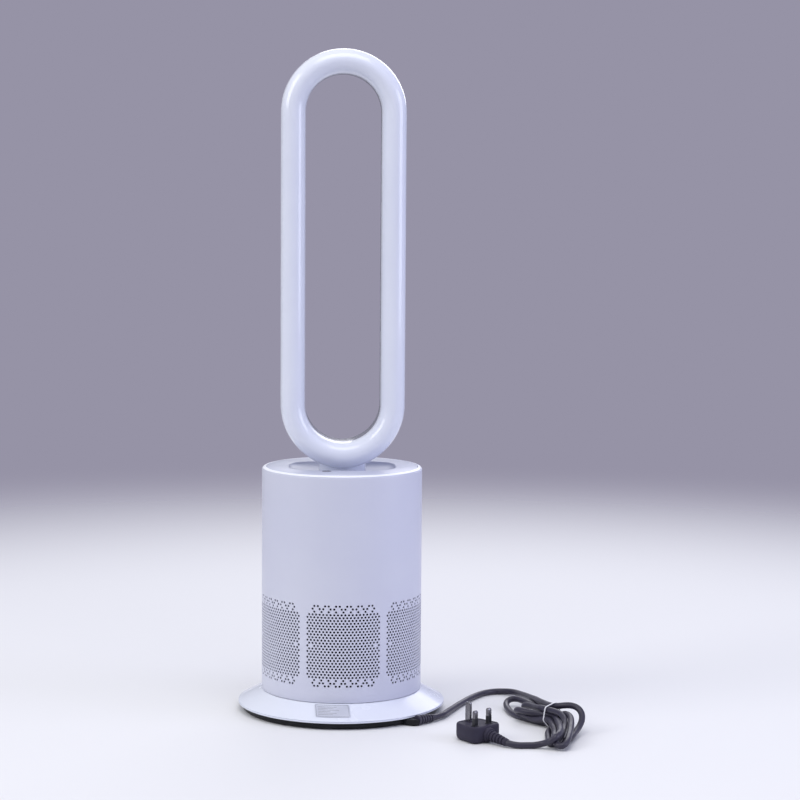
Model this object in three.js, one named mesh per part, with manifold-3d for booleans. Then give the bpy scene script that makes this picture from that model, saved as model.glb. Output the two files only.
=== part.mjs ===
// Bladeless tower fan, free standing: a round base with a cone-shaped flange, a drum body
// that turns on it, and a tall open air loop above the drum.
// Millimetres, +Z up. The origin is on the floor, on the turning axis. The back of the fan
// faces -Y and the air leaves towards +Y.
import * as THREE from 'three';
import { mergeVertices } from 'three/addons/utils/BufferGeometryUtils.js';
import Module from 'manifold-3d';

const wasm = await Module();
wasm.setup();

// ---------------------------------------------------------------- driving dimensions
const SEG = 40;                 // facets round the drum and the base
const GAP = 0.3;                // gap between pieces that touch

const PAN_R = 117.9;            // black tray under the base
const PAN_Z0 = 1.8, PAN_Z1 = 8.2;
const FOOT_R = 9.5, FOOT_H = 3.6, FOOT_PITCH = 98;
const FLANGE_R = 126.8;         // white flange, outer rim
const FLANGE_Z0 = 8.5, FLANGE_RIM = 2.95;
const SEAM_Z = 26.0;            // top of the flange, where the drum starts
const DRUM_R = 98.0, DRUM_WALL = 2.6;
const DRUM_Z0 = 26.5, DRUM_EDGE_Z = 298.2;
const TOP_Z = 300.5, TOP_R = 93.0;

const WELL_A = 65.0, WELL_B = 45.4, WELL_N = 3.4;   // outline of the recess in the top
const WELL_Z = 293.4;
const NECK_A = 28.6, NECK_B = 24.0, NECK_WALL = 2.2;

const LOOP_OUT = 75.4;          // half width of the air loop, outside
const LOOP_IN = 45.6;           // half width of its opening
const LOOP_ZL = 378.0;          // centre of the lower arc
const LOOP_ZU = 730.2;          // centre of the upper arc
const ARC_STEPS = 10;           // facets in each half-round end

const SWING = 40;               // oscillation to each side, degrees
const GEAR_M = 2.0, GEAR_N = 30, PINION_N = 12;     // module and teeth of the drive
const GEAR_GAP = 0.35;          // extra centre distance
const BUTTON_TRAVEL = 1.5;

const CORD_D = 7.5;
const YAW = -1.1 * Math.PI / 180;   // turn of the base layout against the drum

// ---------------------------------------------------------------- helpers
const V2 = (x, y) => new THREE.Vector2(x, y);
const V3 = (x, y, z) => new THREE.Vector3(x, y, z);
const spin = ([x, y, z = 0]) => [x * Math.cos(YAW) - y * Math.sin(YAW), x * Math.sin(YAW) + y * Math.cos(YAW), z];

function bare(geo) {
  const g = geo.clone();
  for (const k of Object.keys(g.attributes)) if (k !== 'position') g.deleteAttribute(k);
  return mergeVertices(g, 1e-4);
}
function volume(p, ix) {
  let v = 0;
  for (let i = 0; i < ix.length; i += 3) {
    const [a, b, c] = [ix[i] * 3, ix[i + 1] * 3, ix[i + 2] * 3];
    v += p[a] * (p[b + 1] * p[c + 2] - p[b + 2] * p[c + 1])
       - p[a + 1] * (p[b] * p[c + 2] - p[b + 2] * p[c])
       + p[a + 2] * (p[b] * p[c + 1] - p[b + 1] * p[c]);
  }
  return v / 6;
}
// a closed mesh as a solid, with its faces turned outwards
function solid(geo) {
  const g = bare(geo);
  const p = Float32Array.from(g.attributes.position.array);
  const t = [];
  const src = g.index.array;
  for (let i = 0; i < src.length; i += 3) {
    if (src[i] !== src[i + 1] && src[i + 1] !== src[i + 2] && src[i] !== src[i + 2]) t.push(src[i], src[i + 1], src[i + 2]);
  }
  if (volume(p, t) < 0) for (let i = 0; i < t.length; i += 3) [t[i + 1], t[i + 2]] = [t[i + 2], t[i + 1]];
  return new wasm.Manifold(new wasm.Mesh({ numProp: 3, vertProperties: p, triVerts: Uint32Array.from(t) }));
}
function geometry(m) {
  const k = m.getMesh();
  const g = new THREE.BufferGeometry();
  const p = new Float32Array(k.numVert * 3);
  for (let i = 0; i < k.numVert; i++) for (let j = 0; j < 3; j++) p[i * 3 + j] = k.vertProperties[i * k.numProp + j];
  g.setAttribute('position', new THREE.BufferAttribute(p, 3));
  g.setIndex(Array.from(k.triVerts));
  g.computeVertexNormals();
  return g;
}
// a turned piece: [radius, z] points that close on themselves or meet the axis
function turned(points, seg = SEG) {
  const q = points.map(([r, z]) => V2(r, z));
  const onAxis = points[0][0] === 0 && points[points.length - 1][0] === 0;
  if (!onAxis) q.push(V2(points[0][0], points[0][1]));
  const g = new THREE.LatheGeometry(q, seg);
  g.rotateX(Math.PI / 2);
  return g;
}
// an outline drawn in XY and raised from z0 to z1
function raised(outline, z0, z1, holes = []) {
  const s = new THREE.Shape(outline.map(([x, y]) => V2(x, y)));
  for (const h of holes) s.holes.push(new THREE.Path(h.map(([x, y]) => V2(x, y))));
  const g = new THREE.ExtrudeGeometry(s, { depth: z1 - z0, bevelEnabled: false, steps: 1 });
  g.translate(0, 0, z0);
  return g;
}
function ring2(n, rx, ry = rx, cx = 0, cy = 0, a0 = 0) {
  const out = [];
  for (let i = 0; i < n; i++) { const a = a0 + 2 * Math.PI * i / n; out.push([cx + rx * Math.cos(a), cy + ry * Math.sin(a)]); }
  return out;
}
function cyl(r, z0, z1, x = 0, y = 0, n = 24) {
  const g = new THREE.CylinderGeometry(r, r, z1 - z0, n);
  g.rotateX(Math.PI / 2);
  g.translate(x, y, (z0 + z1) / 2);
  return g;
}
function block(x0, x1, y0, y1, z0, z1) {
  const g = new THREE.BoxGeometry(x1 - x0, y1 - y0, z1 - z0);
  g.translate((x0 + x1) / 2, (y0 + y1) / 2, (z0 + z1) / 2);
  return g;
}
// rings of equally many points, joined one after the other and closed back to the first
function lofted(rings) {
  const n = rings[0].length, m = rings.length;
  const p = new Float32Array(n * m * 3), ix = [];
  rings.forEach((r, j) => r.forEach(([x, y, z], i) => { p.set([x, y, z], (j * n + i) * 3); }));
  for (let j = 0; j < m; j++) for (let i = 0; i < n; i++) {
    const a = j * n + i, b = j * n + (i + 1) % n, c = ((j + 1) % m) * n + i, d = ((j + 1) % m) * n + (i + 1) % n;
    ix.push(a, b, d, a, d, c);
  }
  const g = new THREE.BufferGeometry();
  g.setAttribute('position', new THREE.BufferAttribute(p, 3));
  g.setIndex(ix);
  return g;
}
// a round bar along points
function bar(points, r, sides, steps) {
  const curve = new THREE.CatmullRomCurve3(points.map(([x, y, z]) => V3(x, y, z)), false, 'centripetal');
  const s = new THREE.Shape(ring2(sides, r, r, 0, 0, Math.PI / sides).map(([x, y]) => V2(x, y)));
  return new THREE.ExtrudeGeometry(s, { steps, bevelEnabled: false, extrudePath: curve });
}
function oval(a, b, n, ang) {   // radius of a superellipse at an angle
  const c = Math.abs(Math.cos(ang)) / a, s = Math.abs(Math.sin(ang)) / b;
  return 1 / Math.pow(Math.pow(c, n) + Math.pow(s, n), 1 / n);
}

const group = new THREE.Group();
const names = new Set();
function add(name, geo, mat, parent = group) {
  if (names.has(name)) throw new Error('two pieces called ' + name);
  names.add(name);
  const g = geo.isBufferGeometry ? geometry(solid(geo)) : geometry(geo);
  const m = new THREE.Mesh(g, mat);
  m.name = name;
  parent.add(m);
  return m;
}
const M = (color, roughness, metalness = 0) => new THREE.MeshStandardMaterial({ color, roughness, metalness });
const white = M('#dfe2f0', 0.3), whiteGloss = M('#e4e8f6', 0.16), black = M('#1d1f25', 0.5), rubber = M('#17181b', 0.85);
const throat = M('#77778a', 0.22), steel = M('#b9bcc2', 0.3, 1), brass = M('#c9ab6b', 0.3, 1), nylon = M('#e9e6da', 0.5);
const greyPlastic = M('#8b8d96', 0.45), board = M('#1f5a3a', 0.45), silver = M('#b9bac2', 0.35, 0.5), cordGrey = M('#6c6878', 0.5);
const sleeve = M('#24242a', 0.5), filterPaper = M('#eceae2', 0.95), tieWhite = M('#f2f2f4', 0.4), glassBlack = M('#0c0d10', 0.08);

// ================================================================= base
// --- cable entry: a boss on the tray's side that turns the lead along the rim
const ENTRY = spin([90.4, -98.0]);                    // centre of its end face
const ENTRY_DIR = spin([0.754, 0.657]).slice(0, 2);
const ENTRY_SIDE = [ENTRY_DIR[1], -ENTRY_DIR[0]];
const atRim = (r, deg) => spin([r * Math.sin(deg * Math.PI / 180), -r * Math.cos(deg * Math.PI / 180)]).slice(0, 2);
const entryOutline = [atRim(139.3, 42.7), atRim(127.3, 42.7), atRim(118, 42.4), atRim(108, 42.2), atRim(108, 36.4), atRim(118, 36.9), atRim(127, 37.9), atRim(135.6, 39.8)];
const entryGrown = [atRim(130, 42.9), atRim(118, 42.6), atRim(107.6, 42.4), atRim(107.6, 36.2), atRim(118, 36.7), atRim(130, 38.0)];

let pan = solid(turned([[0, PAN_Z0], [110, PAN_Z0], [115.2, 3.0], [PAN_R, 5.6], [PAN_R, PAN_Z1], [115.2, PAN_Z1], [115.2, 6.2], [112.0, 4.4], [0, 4.4]]));
for (let i = 0; i < 5; i++) {
  const a = 72 * i * Math.PI / 180;
  pan = pan.subtract(solid(cyl(FOOT_R + GAP, 0, 3.3 + GAP, FOOT_PITCH * Math.cos(a), FOOT_PITCH * Math.sin(a), 16)));
}
const SCREW_PITCH = 106.5, SCREW_AT = [36, 126, 234, 324];
for (let i = 0; i < 4; i++) {
  const a = SCREW_AT[i] * Math.PI / 180, x = SCREW_PITCH * Math.cos(a), y = SCREW_PITCH * Math.sin(a);
  pan = pan.subtract(solid(cyl(2.1, 0, 6, x, y, 8))).subtract(solid(cyl(4.5, 0, 3.3, x, y, 8)));
}
pan = pan.subtract(solid(raised(entryGrown, 0, 9)));
add('base_pan', pan, black);
for (let i = 0; i < 5; i++) {
  const a = 72 * i * Math.PI / 180, x = FOOT_PITCH * Math.cos(a), y = FOOT_PITCH * Math.sin(a);
  const g = turned([[0, 0], [FOOT_R - 0.8, 0], [FOOT_R, 0.8], [FOOT_R, 3.3], [0, 3.3]], 16);
  g.translate(x, y, 0);
  add('foot_' + (i + 1), g, rubber);
}

// --- flange: rim ledge, cone and the flat ring that carries the drum
let flange = solid(turned([
  [126.2, FLANGE_Z0], [FLANGE_R, FLANGE_Z0 + 0.7], [FLANGE_R, FLANGE_Z0 + 2.2], [126.1, FLANGE_Z0 + FLANGE_RIM],
  [98.9, 25.7], [98.0, SEAM_Z], [66.5, SEAM_Z], [66.5, 23.4], [97.9, 23.4], [122.9, 10.4], [109.5, 10.4], [109.5, FLANGE_Z0]]));
for (let i = 0; i < 4; i++) {       // blind screw pillars on the ledge
  const a = SCREW_AT[i] * Math.PI / 180, x = SCREW_PITCH * Math.cos(a), y = SCREW_PITCH * Math.sin(a);
  flange = flange.add(solid(cyl(5, FLANGE_Z0 - 3.6, 12.2, x, y, 8)));
  flange = flange.subtract(solid(cyl(1.95, 3, 11.4, x, y, 8)));
}
add('base_flange', flange, whiteGloss);
for (let i = 0; i < 4; i++) {
  const a = SCREW_AT[i] * Math.PI / 180, x = SCREW_PITCH * Math.cos(a), y = SCREW_PITCH * Math.sin(a);
  const g = turned([[0, 2.0], [3.8, 2.0], [3.8, 2.7], [1.6, 3.1], [1.6, 10.8], [0, 10.8]], 8);
  g.translate(x, y, 0);
  let s = solid(g).subtract(solid(block(-0.5, 0.5, -2.4, 2.4, 0, 2.5).translate(x, y, 0)));
  add('base_screw_' + (i + 1), s, steel);
}

// --- hollow post on the tray: the journal that the drum turns on, with the lead inside
let post = solid(turned([[7.5, 4.7], [30, 4.7], [30, 7.2], [20, 11.4], [14, 11.4], [14, 30.6], [7.5, 30.6]], 24));
post = post.subtract(solid(block(0, 34, -4.2, 4.2, 4.0, 16.0).rotateZ((39.4 - 90) * Math.PI / 180 + YAW)));
add('pivot_post', post, nylon);

// --- fixed gear round the post
function involute(rb, t) { return [rb * (Math.cos(t) + t * Math.sin(t)), rb * (Math.sin(t) - t * Math.cos(t))]; }
function gearOutline(n, m, addendum, dedendum, thin, phase, from = 0, to = n) {
  const rp = n * m / 2, rb = rp * Math.cos(20 * Math.PI / 180), ra = rp + addendum, rr = rp - dedendum;
  const inv = (al) => Math.tan(al) - al;
  const half = Math.PI / (2 * n) - thin / (2 * rp) + inv(20 * Math.PI / 180);
  const flank = [];
  const rs = Math.max(rb, rr + 0.15);
  for (const k of [0, 0.5, 1]) {
    const r = rs + (ra - rs) * k, t = Math.sqrt(Math.max(0, (r / rb) ** 2 - 1));
    flank.push([r, half - (t - Math.atan(t))]);
  }
  const out = [];
  for (let i = from; i < to; i++) {
    const c = phase + 2 * Math.PI * i / n;
    out.push([rr, c - half - 0.004]);
    for (const [r, w] of flank) out.push([r, c - w]);
    for (const [r, w] of flank.slice().reverse()) out.push([r, c + w]);
    out.push([rr, c + half + 0.004]);
  }
  return out.map(([r, a]) => [r * Math.cos(a), r * Math.sin(a)]);
}
const GEAR_Z0 = 11.8, GEAR_Z1 = 17.6;
const PINION_Y = GEAR_M * (GEAR_N + PINION_N) / 2 + GEAR_GAP;
// a sector of ten teeth, five to each side of the middle
const gearShape = gearOutline(GEAR_N, GEAR_M, 1.45, 2.1, 0.32, Math.PI / 2 + Math.PI / GEAR_N, -5, 5);
for (let i = 0; i <= 14; i++) { const a = (150 + 240 * i / 14) * Math.PI / 180; gearShape.push([21 * Math.cos(a), 21 * Math.sin(a)]); }
let gear = solid(raised(gearShape, GEAR_Z0, GEAR_Z1)).subtract(solid(cyl(14.3, 0, 40, 0, 0, 24)));
add('oscillation_gear', gear, nylon);

// --- low-friction ring that the drum slides on
add('slip_ring', turned([[72, 26.3], [90, 26.3], [90, 27.9], [72, 27.9]], 32), nylon);

// --- cable entry boss and its ribbed sleeve
let entry = solid(raised(entryOutline, 0.6, 8.2));
const boreDir = V3(ENTRY_DIR[0], ENTRY_DIR[1], 0);
function along(geo, x, y, z, dir) {   // a piece drawn along +Z, laid along dir from a point
  const q = new THREE.Quaternion().setFromUnitVectors(V3(0, 0, 1), dir.clone().normalize());
  geo.applyQuaternion(q);
  geo.translate(x, y, z);
  return geo;
}
add('cord_gland', entry, black);
const RELIEF_Z = 6.35;
const reliefDir = V3(ENTRY_DIR[0], ENTRY_DIR[1], -0.035).normalize();
const reliefStart = [ENTRY[0] + 0.3 * ENTRY_DIR[0], ENTRY[1] + 0.3 * ENTRY_DIR[1], RELIEF_Z];
const RELIEF_L = 27;
const reliefProfile = [[0, 0], [6.0, 0], [6.0, 4.6], [4.9, 5.0], [5.6, 7.0], [5.6, 10.0], [4.6, 11.0], [5.3, 13.0], [5.3, 16.0], [4.4, 17.0], [4.9, 19.0], [4.9, 23.8], [4.1, RELIEF_L], [0, RELIEF_L]];
{
  const g = turned(reliefProfile, 10);
  add('cord_strain_relief', along(g, ...reliefStart, reliefDir), cordGrey);
}
// --- lead inside the base, from the boss to the post and up through it
const innerStart = atRim(107.4, 39.4);
add('inner_lead', bar([[...innerStart, 7.9], [innerStart[0] * 0.9, innerStart[1] * 0.9, 8.0], [innerStart[0] * 0.3, innerStart[1] * 0.3, 7.9], [innerStart[0] * 0.1, innerStart[1] * 0.1, 8.1], [innerStart[0] * 0.02, innerStart[1] * 0.02, 11.5], [0, 0, 18], [0, 0, 32]], 3.0, 6, 20), cordGrey);

// --- bare rating plate on the cone, at the back
const SLOPE = Math.atan2(25.7 - (FLANGE_Z0 + FLANGE_RIM), 126.1 - 98.9);
{
  const a0 = (-6.6) * Math.PI / 180, w = 42, rows = [];
  const rA = 100.2, rB = 120.4, th = 0.5, gapUp = 0.3, N = 12;
  const onCone = (r, up) => { const z = 25.7 - (r - 98.9) * Math.tan(SLOPE); return [r + up * Math.sin(SLOPE), z + up * Math.cos(SLOPE)]; };
  const corner = [onCone(rA, gapUp), onCone(rB, gapUp), onCone(rB, gapUp + th), onCone(rA, gapUp + th)];
  const half = w / 2 / 110;
  const p = [], ix = [];
  for (let i = 0; i <= N; i++) {
    const a = -Math.PI / 2 + a0 - half + 2 * half * i / N;
    for (const [r, z] of corner) p.push(r * Math.cos(a), r * Math.sin(a), z);
  }
  for (let i = 0; i < N; i++) for (let k = 0; k < 4; k++) {
    const a = i * 4 + k, b = i * 4 + (k + 1) % 4, c = a + 4, d = b + 4;
    ix.push(a, b, d, a, d, c);
  }
  ix.push(0, 2, 1, 0, 3, 2, N * 4, N * 4 + 1, N * 4 + 2, N * 4, N * 4 + 2, N * 4 + 3);
  const g = new THREE.BufferGeometry();
  g.setAttribute('position', new THREE.BufferAttribute(Float32Array.from(p), 3));
  g.setIndex(ix);
  add('rating_plate', g, silver);
}

// ================================================================= drum
let floor = solid(turned([[14.4, 18.2], [17.4, 18.2], [17.4, 28.2], [62, 28.2], [62, 23.3], [65, 23.3], [65, 28.2], [94.6, 28.2], [94.6, 30.8], [17.4, 30.8], [17.4, 34], [14.4, 34]], 32));
floor = floor.subtract(solid(cyl(5.2, 20, 40, 0, PINION_Y, 12)));
add('drum_floor', floor, greyPlastic);
add('retaining_ring', turned([[58.5, 20.6], [72, 20.6], [72, 23.0], [58.5, 23.0]], 28), steel);

// --- outer drum wall: one tube with a rounded rim and a pocket for the front panel
const WALL_IN = DRUM_R - DRUM_WALL;
let shell = solid(turned([[DRUM_R, DRUM_Z0], [DRUM_R, 297.4], [97.5, DRUM_EDGE_Z], [95.4, 299.5], [TOP_R + 0.3, TOP_Z], [TOP_R, TOP_Z], [TOP_R, 297.6], [WALL_IN, 295.5], [WALL_IN, DRUM_Z0]]));
const PANEL_Z = [250, 276], PANEL_HALF = 27 / DRUM_R;
function curved(r0, r1, z0, z1, mid, half, n = 10) {   // a slice of a tube wall
  const o = [];
  for (let i = 0; i <= n; i++) { const a = mid - half + 2 * half * i / n; o.push([r1 * Math.cos(a), r1 * Math.sin(a)]); }
  for (let i = n; i >= 0; i--) { const a = mid - half + 2 * half * i / n; o.push([r0 * Math.cos(a), r0 * Math.sin(a)]); }
  return raised(o, z0, z1);
}
shell = shell.subtract(solid(curved(DRUM_R - 1.3, DRUM_R + 3, PANEL_Z[0] - GAP, PANEL_Z[1] + GAP, Math.PI / 2, PANEL_HALF + GAP / DRUM_R)));
shell = shell.subtract(solid(block(-9, 9, 90, 100, 258, 268)));
add('drum_shell', shell, white);
add('touch_panel', curved(DRUM_R - 1.0, DRUM_R - 0.15, PANEL_Z[0], PANEL_Z[1], Math.PI / 2, PANEL_HALF), glassBlack);
add('display_board', block(-24, 24, 88.0, 89.6, 251, 275), board);

// --- top cover in two halves, with the recess that the neck stands in
{
  const N = 44, rings = [];
  for (let i = 0; i < N; i++) {
    const a = 2 * Math.PI * i / N + Math.PI / N, c = Math.cos(a), s = Math.sin(a);
    const rw = oval(WELL_A, WELL_B, WELL_N, a), rn = oval(NECK_A + 1.0, NECK_B + 1.0, 2.3, a), R = TOP_R - 0.45;
    const P = (r, z) => [r * c, r * s, z];
    rings.push([P(R, TOP_Z - 0.1), P(rw + 0.5, TOP_Z - 0.1), P(rw - 0.9, TOP_Z - 0.7), P(rw - 2.2, TOP_Z - 2.2), P(rn + (rw - rn) * 0.45, WELL_Z + 1.3), P(rn, WELL_Z),
      P(rn, WELL_Z - 2.2), P(rn + (rw - rn) * 0.45, WELL_Z - 0.9), P(rw - 0.3, TOP_Z - 4.4), P(rw + 1.2, TOP_Z - 2.6), P(R, TOP_Z - 2.6)]);
  }
  const whole = solid(lofted(rings));
  const BX = -19.6, BY = -52.2;
  const hole = solid(cyl(6.1, 290, 310, BX, BY, 14));
  add('top_cover_rear', whole.intersect(solid(block(-110, 110, -110, -0.2, 280, 310))).subtract(hole), white);
  add('top_cover_front', whole.intersect(solid(block(-110, 110, 0.2, 110, 280, 310))), white);
  // power button: cap, collar under the cover and a stem
  const g = turned([[0, 289.6], [1.6, 289.6], [1.6, 293.6], [7.2, 293.6], [7.2, 295.0], [5.6, 295.0], [5.6, 300.3], [4.9, 300.8], [0, 300.9]], 14);
  g.translate(BX, BY, 0);
  add('power_button', g, greyPlastic);
  // spring between the board and the collar, at its height with the button up
  const turns = 4, pts = [];
  for (let i = 0; i <= turns * 10; i++) { const t = i / 10; pts.push([BX + 4.4 * Math.cos(2 * Math.PI * t), BY + 4.4 * Math.sin(2 * Math.PI * t), 285.75 + 7.1 * t / turns]); }
  add('button_spring', bar(pts, 0.35, 4, 40), steel);
  add('button_switch', block(BX - 2.4, BX + 2.4, BY - 2.4, BY + 2.4, 285.4, 287.7), black);
  let pcb = solid(block(BX - 26, BX + 26, BY - 24, BY + 12, 283.4, 285.0)).subtract(solid(cyl(1.8, 280, 290, BX - 22, BY - 14, 8))).subtract(solid(cyl(1.8, 280, 290, BX + 22, BY - 14, 8)));
  add('control_board', pcb, board);
}

// --- frame that carries the blower
for (let i = 0; i < 3; i++) {
  const a = (30 + 120 * i) * Math.PI / 180;
  const g = block(-3.2, 3.2, -5, 5, 31.1, 157.6);
  g.translate(90.4, 0, 0); g.rotateZ(a);
  add('frame_column_' + (i + 1), g, greyPlastic);
}
// --- intake filter: pleated ring between two caps
{
  const o = [], h = [], n = 40;
  for (let i = 0; i < n; i++) {
    const a = 2 * Math.PI * i / n, ro = i % 2 ? 79.5 : 83.5, ri = i % 2 ? 65.0 : 69.0;
    o.push([ro * Math.cos(a), ro * Math.sin(a)]); h.push([ri * Math.cos(a), ri * Math.sin(a)]);
  }
  add('filter_media', raised(o, 37.4, 150.2, [h]), filterPaper);
  add('filter_lower_cap', turned([[63, 31.2], [85, 31.2], [85, 37.1], [63, 37.1]], 28), greyPlastic);
  add('filter_upper_cap', turned([[63, 150.5], [85, 150.5], [85, 156.4], [63, 156.4]], 28), greyPlastic);
}
// --- blower housing: partition, bell mouth, impeller chamber and outlet
add('blower_housing', turned([
  [94.6, 157.9], [94.6, 160.3], [65, 160.3], [58.9, 168], [60.8, 204], [60.8, 246], [56, 262.5],
  [53.6, 262.5], [58.4, 245.4], [58.4, 204.2], [56.1, 168], [61.0, 157.9]], 32), greyPlastic);
add('housing_gasket', turned([[88, 160.6], [94.6, 160.6], [94.6, 163.2], [88, 163.2]], 28), rubber);
// --- impeller: hub cone with nine swept blades
{
  let w = solid(turned([[2.2, 168], [8, 168], [30, 187], [40, 199.5], [40, 202], [27, 189.6], [12, 174], [6, 186], [2.2, 186]], 24));
  const blades = 9, N = 5;
  let vanes = null;
  for (let b = 0; b < blades; b++) {
    const o = [];
    for (let i = 0; i <= N; i++) { const r = 10.4 + 46 * i / N, a = 2 * Math.PI * b / blades + 1.0 * i / N + 0.85 / r; o.push([r * Math.cos(a), r * Math.sin(a)]); }
    for (let i = N; i >= 0; i--) { const r = 10.4 + 46 * i / N, a = 2 * Math.PI * b / blades + 1.0 * i / N - 0.85 / r; o.push([r * Math.cos(a), r * Math.sin(a)]); }
    const v = solid(raised(o, 166, 204));
    vanes = vanes ? vanes.add(v) : v;
  }
  // the vanes fill the room between the hub and the housing
  const room = solid(turned([[12.4, 171.5], [48.5, 171.5], [51.5, 177], [54.2, 188], [54.2, 199.4], [39, 199.4], [30, 188.4], [12.4, 173.2]], 24));
  w = w.add(vanes.intersect(room));
  add('impeller', w, greyPlastic);
  add('motor_shaft', cyl(1.9, 166, 222, 0, 0, 12), steel);
  const nut = new THREE.CylinderGeometry(4.4, 4.4, 3.4, 6); nut.rotateX(Math.PI / 2); nut.translate(0, 0, 166);
  add('impeller_nut', solid(nut).subtract(solid(cyl(2.2, 160, 170, 0, 0, 12))), brass);
}
// --- diffuser: motor cup, nine guide vanes and an outer ring
{
  let d = solid(turned([[25.4, 207.4], [41.0, 207.4], [34, 218], [28.2, 252], [20, 258.6], [0, 258.6], [0, 256.2], [19, 256.2], [25.4, 250.6]], 24));
  d = d.add(solid(turned([[55.6, 210], [57.6, 210], [57.6, 240], [55.6, 240]], 32)));
  for (let b = 0; b < 9; b++) {
    const a = 2 * Math.PI * b / 9;
    const g = block(30.5, 56.4, -0.9, 0.9, 213, 238); g.rotateZ(a);
    d = d.add(solid(g));
  }
  add('diffuser', d, greyPlastic);
  add('blower_motor', turned([[2.5, 209.5], [23.6, 209.5], [24.4, 211], [24.4, 243], [22, 246], [2.5, 246]], 20), silver);
  add('motor_mount', turned([[8, 246.4], [20.5, 246.4], [20.5, 249.4], [8, 249.4]], 16), rubber);
}
// --- drive: motor on the drum floor, pinion below it
{
  const y = PINION_Y;
  let m = solid(turned([[3.4, 31.2], [19.5, 31.2], [19.5, 46.8], [0, 46.8], [0, 38.4], [3.4, 38.4]], 20).translate(0, y, 0));
  add('oscillation_motor', m, silver);
  const out = gearOutline(PINION_N, GEAR_M, 1.45, 2.1, 0.32, -Math.PI / 2);
  let p = solid(raised(out, GEAR_Z0, GEAR_Z1)).add(solid(cyl(4.2, GEAR_Z1 - 0.5, 20.0, 0, 0, 10))).add(solid(cyl(2.9, 19.5, 37.6, 0, 0, 10)));
  add('pinion', p.translate([0, y, 0]), brass);
}
// --- neck: round at the blower, oval where it stands in the recess and enters the loop
function neckRing(a, b, z, n, N = 28) {
  const out = [];
  for (let i = 0; i < N; i++) { const t = 2 * Math.PI * i / N, r = oval(a, b, n, t); out.push([r * Math.cos(t), r * Math.sin(t), z]); }
  return out;
}
{
  const w = NECK_WALL;
  add('neck_duct', lofted([
    neckRing(59.0, 59.0, 263.0, 2), neckRing(59.0, 59.0, 265.4, 2), neckRing(NECK_A, NECK_B, 285, 2.3), neckRing(NECK_A, NECK_B, 310.6, 2.3),
    neckRing(NECK_A - w, NECK_B - w, 310.6, 2.3), neckRing(NECK_A - w, NECK_B - w, 284.2, 2.3), neckRing(56.3, 56.3, 264.2, 2), neckRing(56.3, 56.3, 263.0, 2)]), white);
  add('neck_seal', lofted([neckRing(NECK_A + 4.5, NECK_B + 4.5, 288.0, 2.3), neckRing(NECK_A + 4.5, NECK_B + 4.5, 290.6, 2.3), neckRing(NECK_A + 0.4, NECK_B + 0.4, 290.6, 2.3), neckRing(NECK_A + 0.4, NECK_B + 0.4, 288.0, 2.3)]), rubber);
}

// ================================================================= air loop
// A section is drawn as [n, y]: n is the distance from the middle line, y the depth.
function stations() {
  const s = [];   // [centre x, centre z, outward x, outward z]
  for (let i = 0; i <= ARC_STEPS; i++) { const a = -Math.PI + Math.PI * i / ARC_STEPS; s.push([LOOP_ZL, Math.cos(a), Math.sin(a)]); }
  for (let i = 0; i <= ARC_STEPS; i++) { const a = Math.PI * i / ARC_STEPS; s.push([LOOP_ZU, Math.cos(a), Math.sin(a)]); }
  return s;
}
function swept(section) {
  const st = stations();
  return lofted(st.map(([zc, cx, cz]) => section.map(([n, y]) => [n * cx, y, zc + n * cz])));
}
// a thin wall: the outside points, then the same line moved inwards by t
function walled(line, t) {
  const back = [];
  for (let i = 0; i < line.length; i++) {
    const a = line[Math.max(0, i - 1)], b = line[Math.min(line.length - 1, i + 1)];
    const dx = b[0] - a[0], dy = b[1] - a[1], l = Math.hypot(dx, dy);
    back.push([line[i][0] + t * dy / l, line[i][1] - t * dx / l]);
  }
  return line.concat(back.reverse());
}
const rearLine = [[LOOP_OUT, 4.0], [LOOP_OUT, -13], [74.0, -25.5], [68.6, -35.6], [60.2, -40], [52.0, -37.4], [47.0, -30.0], [LOOP_IN, -20.6]];
const frontLine = [[46.0, 17.4], [48.4, 26.5], [53.6, 35.8], [61.0, 40], [68.0, 37.0], [73.2, 27.5], [LOOP_OUT, 14], [LOOP_OUT, 4.4]];
const neckCut = solid(lofted([neckRing(NECK_A + 0.4, NECK_B + 0.4, 285, 2.3), neckRing(NECK_A + 0.4, NECK_B + 0.4, 316, 2.3), neckRing(0.5, 0.5, 316, 2), neckRing(0.5, 0.5, 285, 2)])).add(solid(block(-3, 3, -3, 3, 285, 316)));
let rearShell = solid(swept(walled(rearLine, 2.3)));
let frontShell = solid(swept(walled(frontLine, 2.3)));
rearShell = rearShell.subtract(neckCut);
frontShell = frontShell.subtract(neckCut);
add('loop_rear_shell', rearShell, whiteGloss);
add('loop_front_shell', frontShell, whiteGloss);
add('loop_inner_duct', swept([[LOOP_IN + 0.3, -18.4], [LOOP_IN + 0.3, 16.4], [LOOP_IN + 2.5, 16.4], [LOOP_IN + 2.5, -18.4]]), throat);

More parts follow.
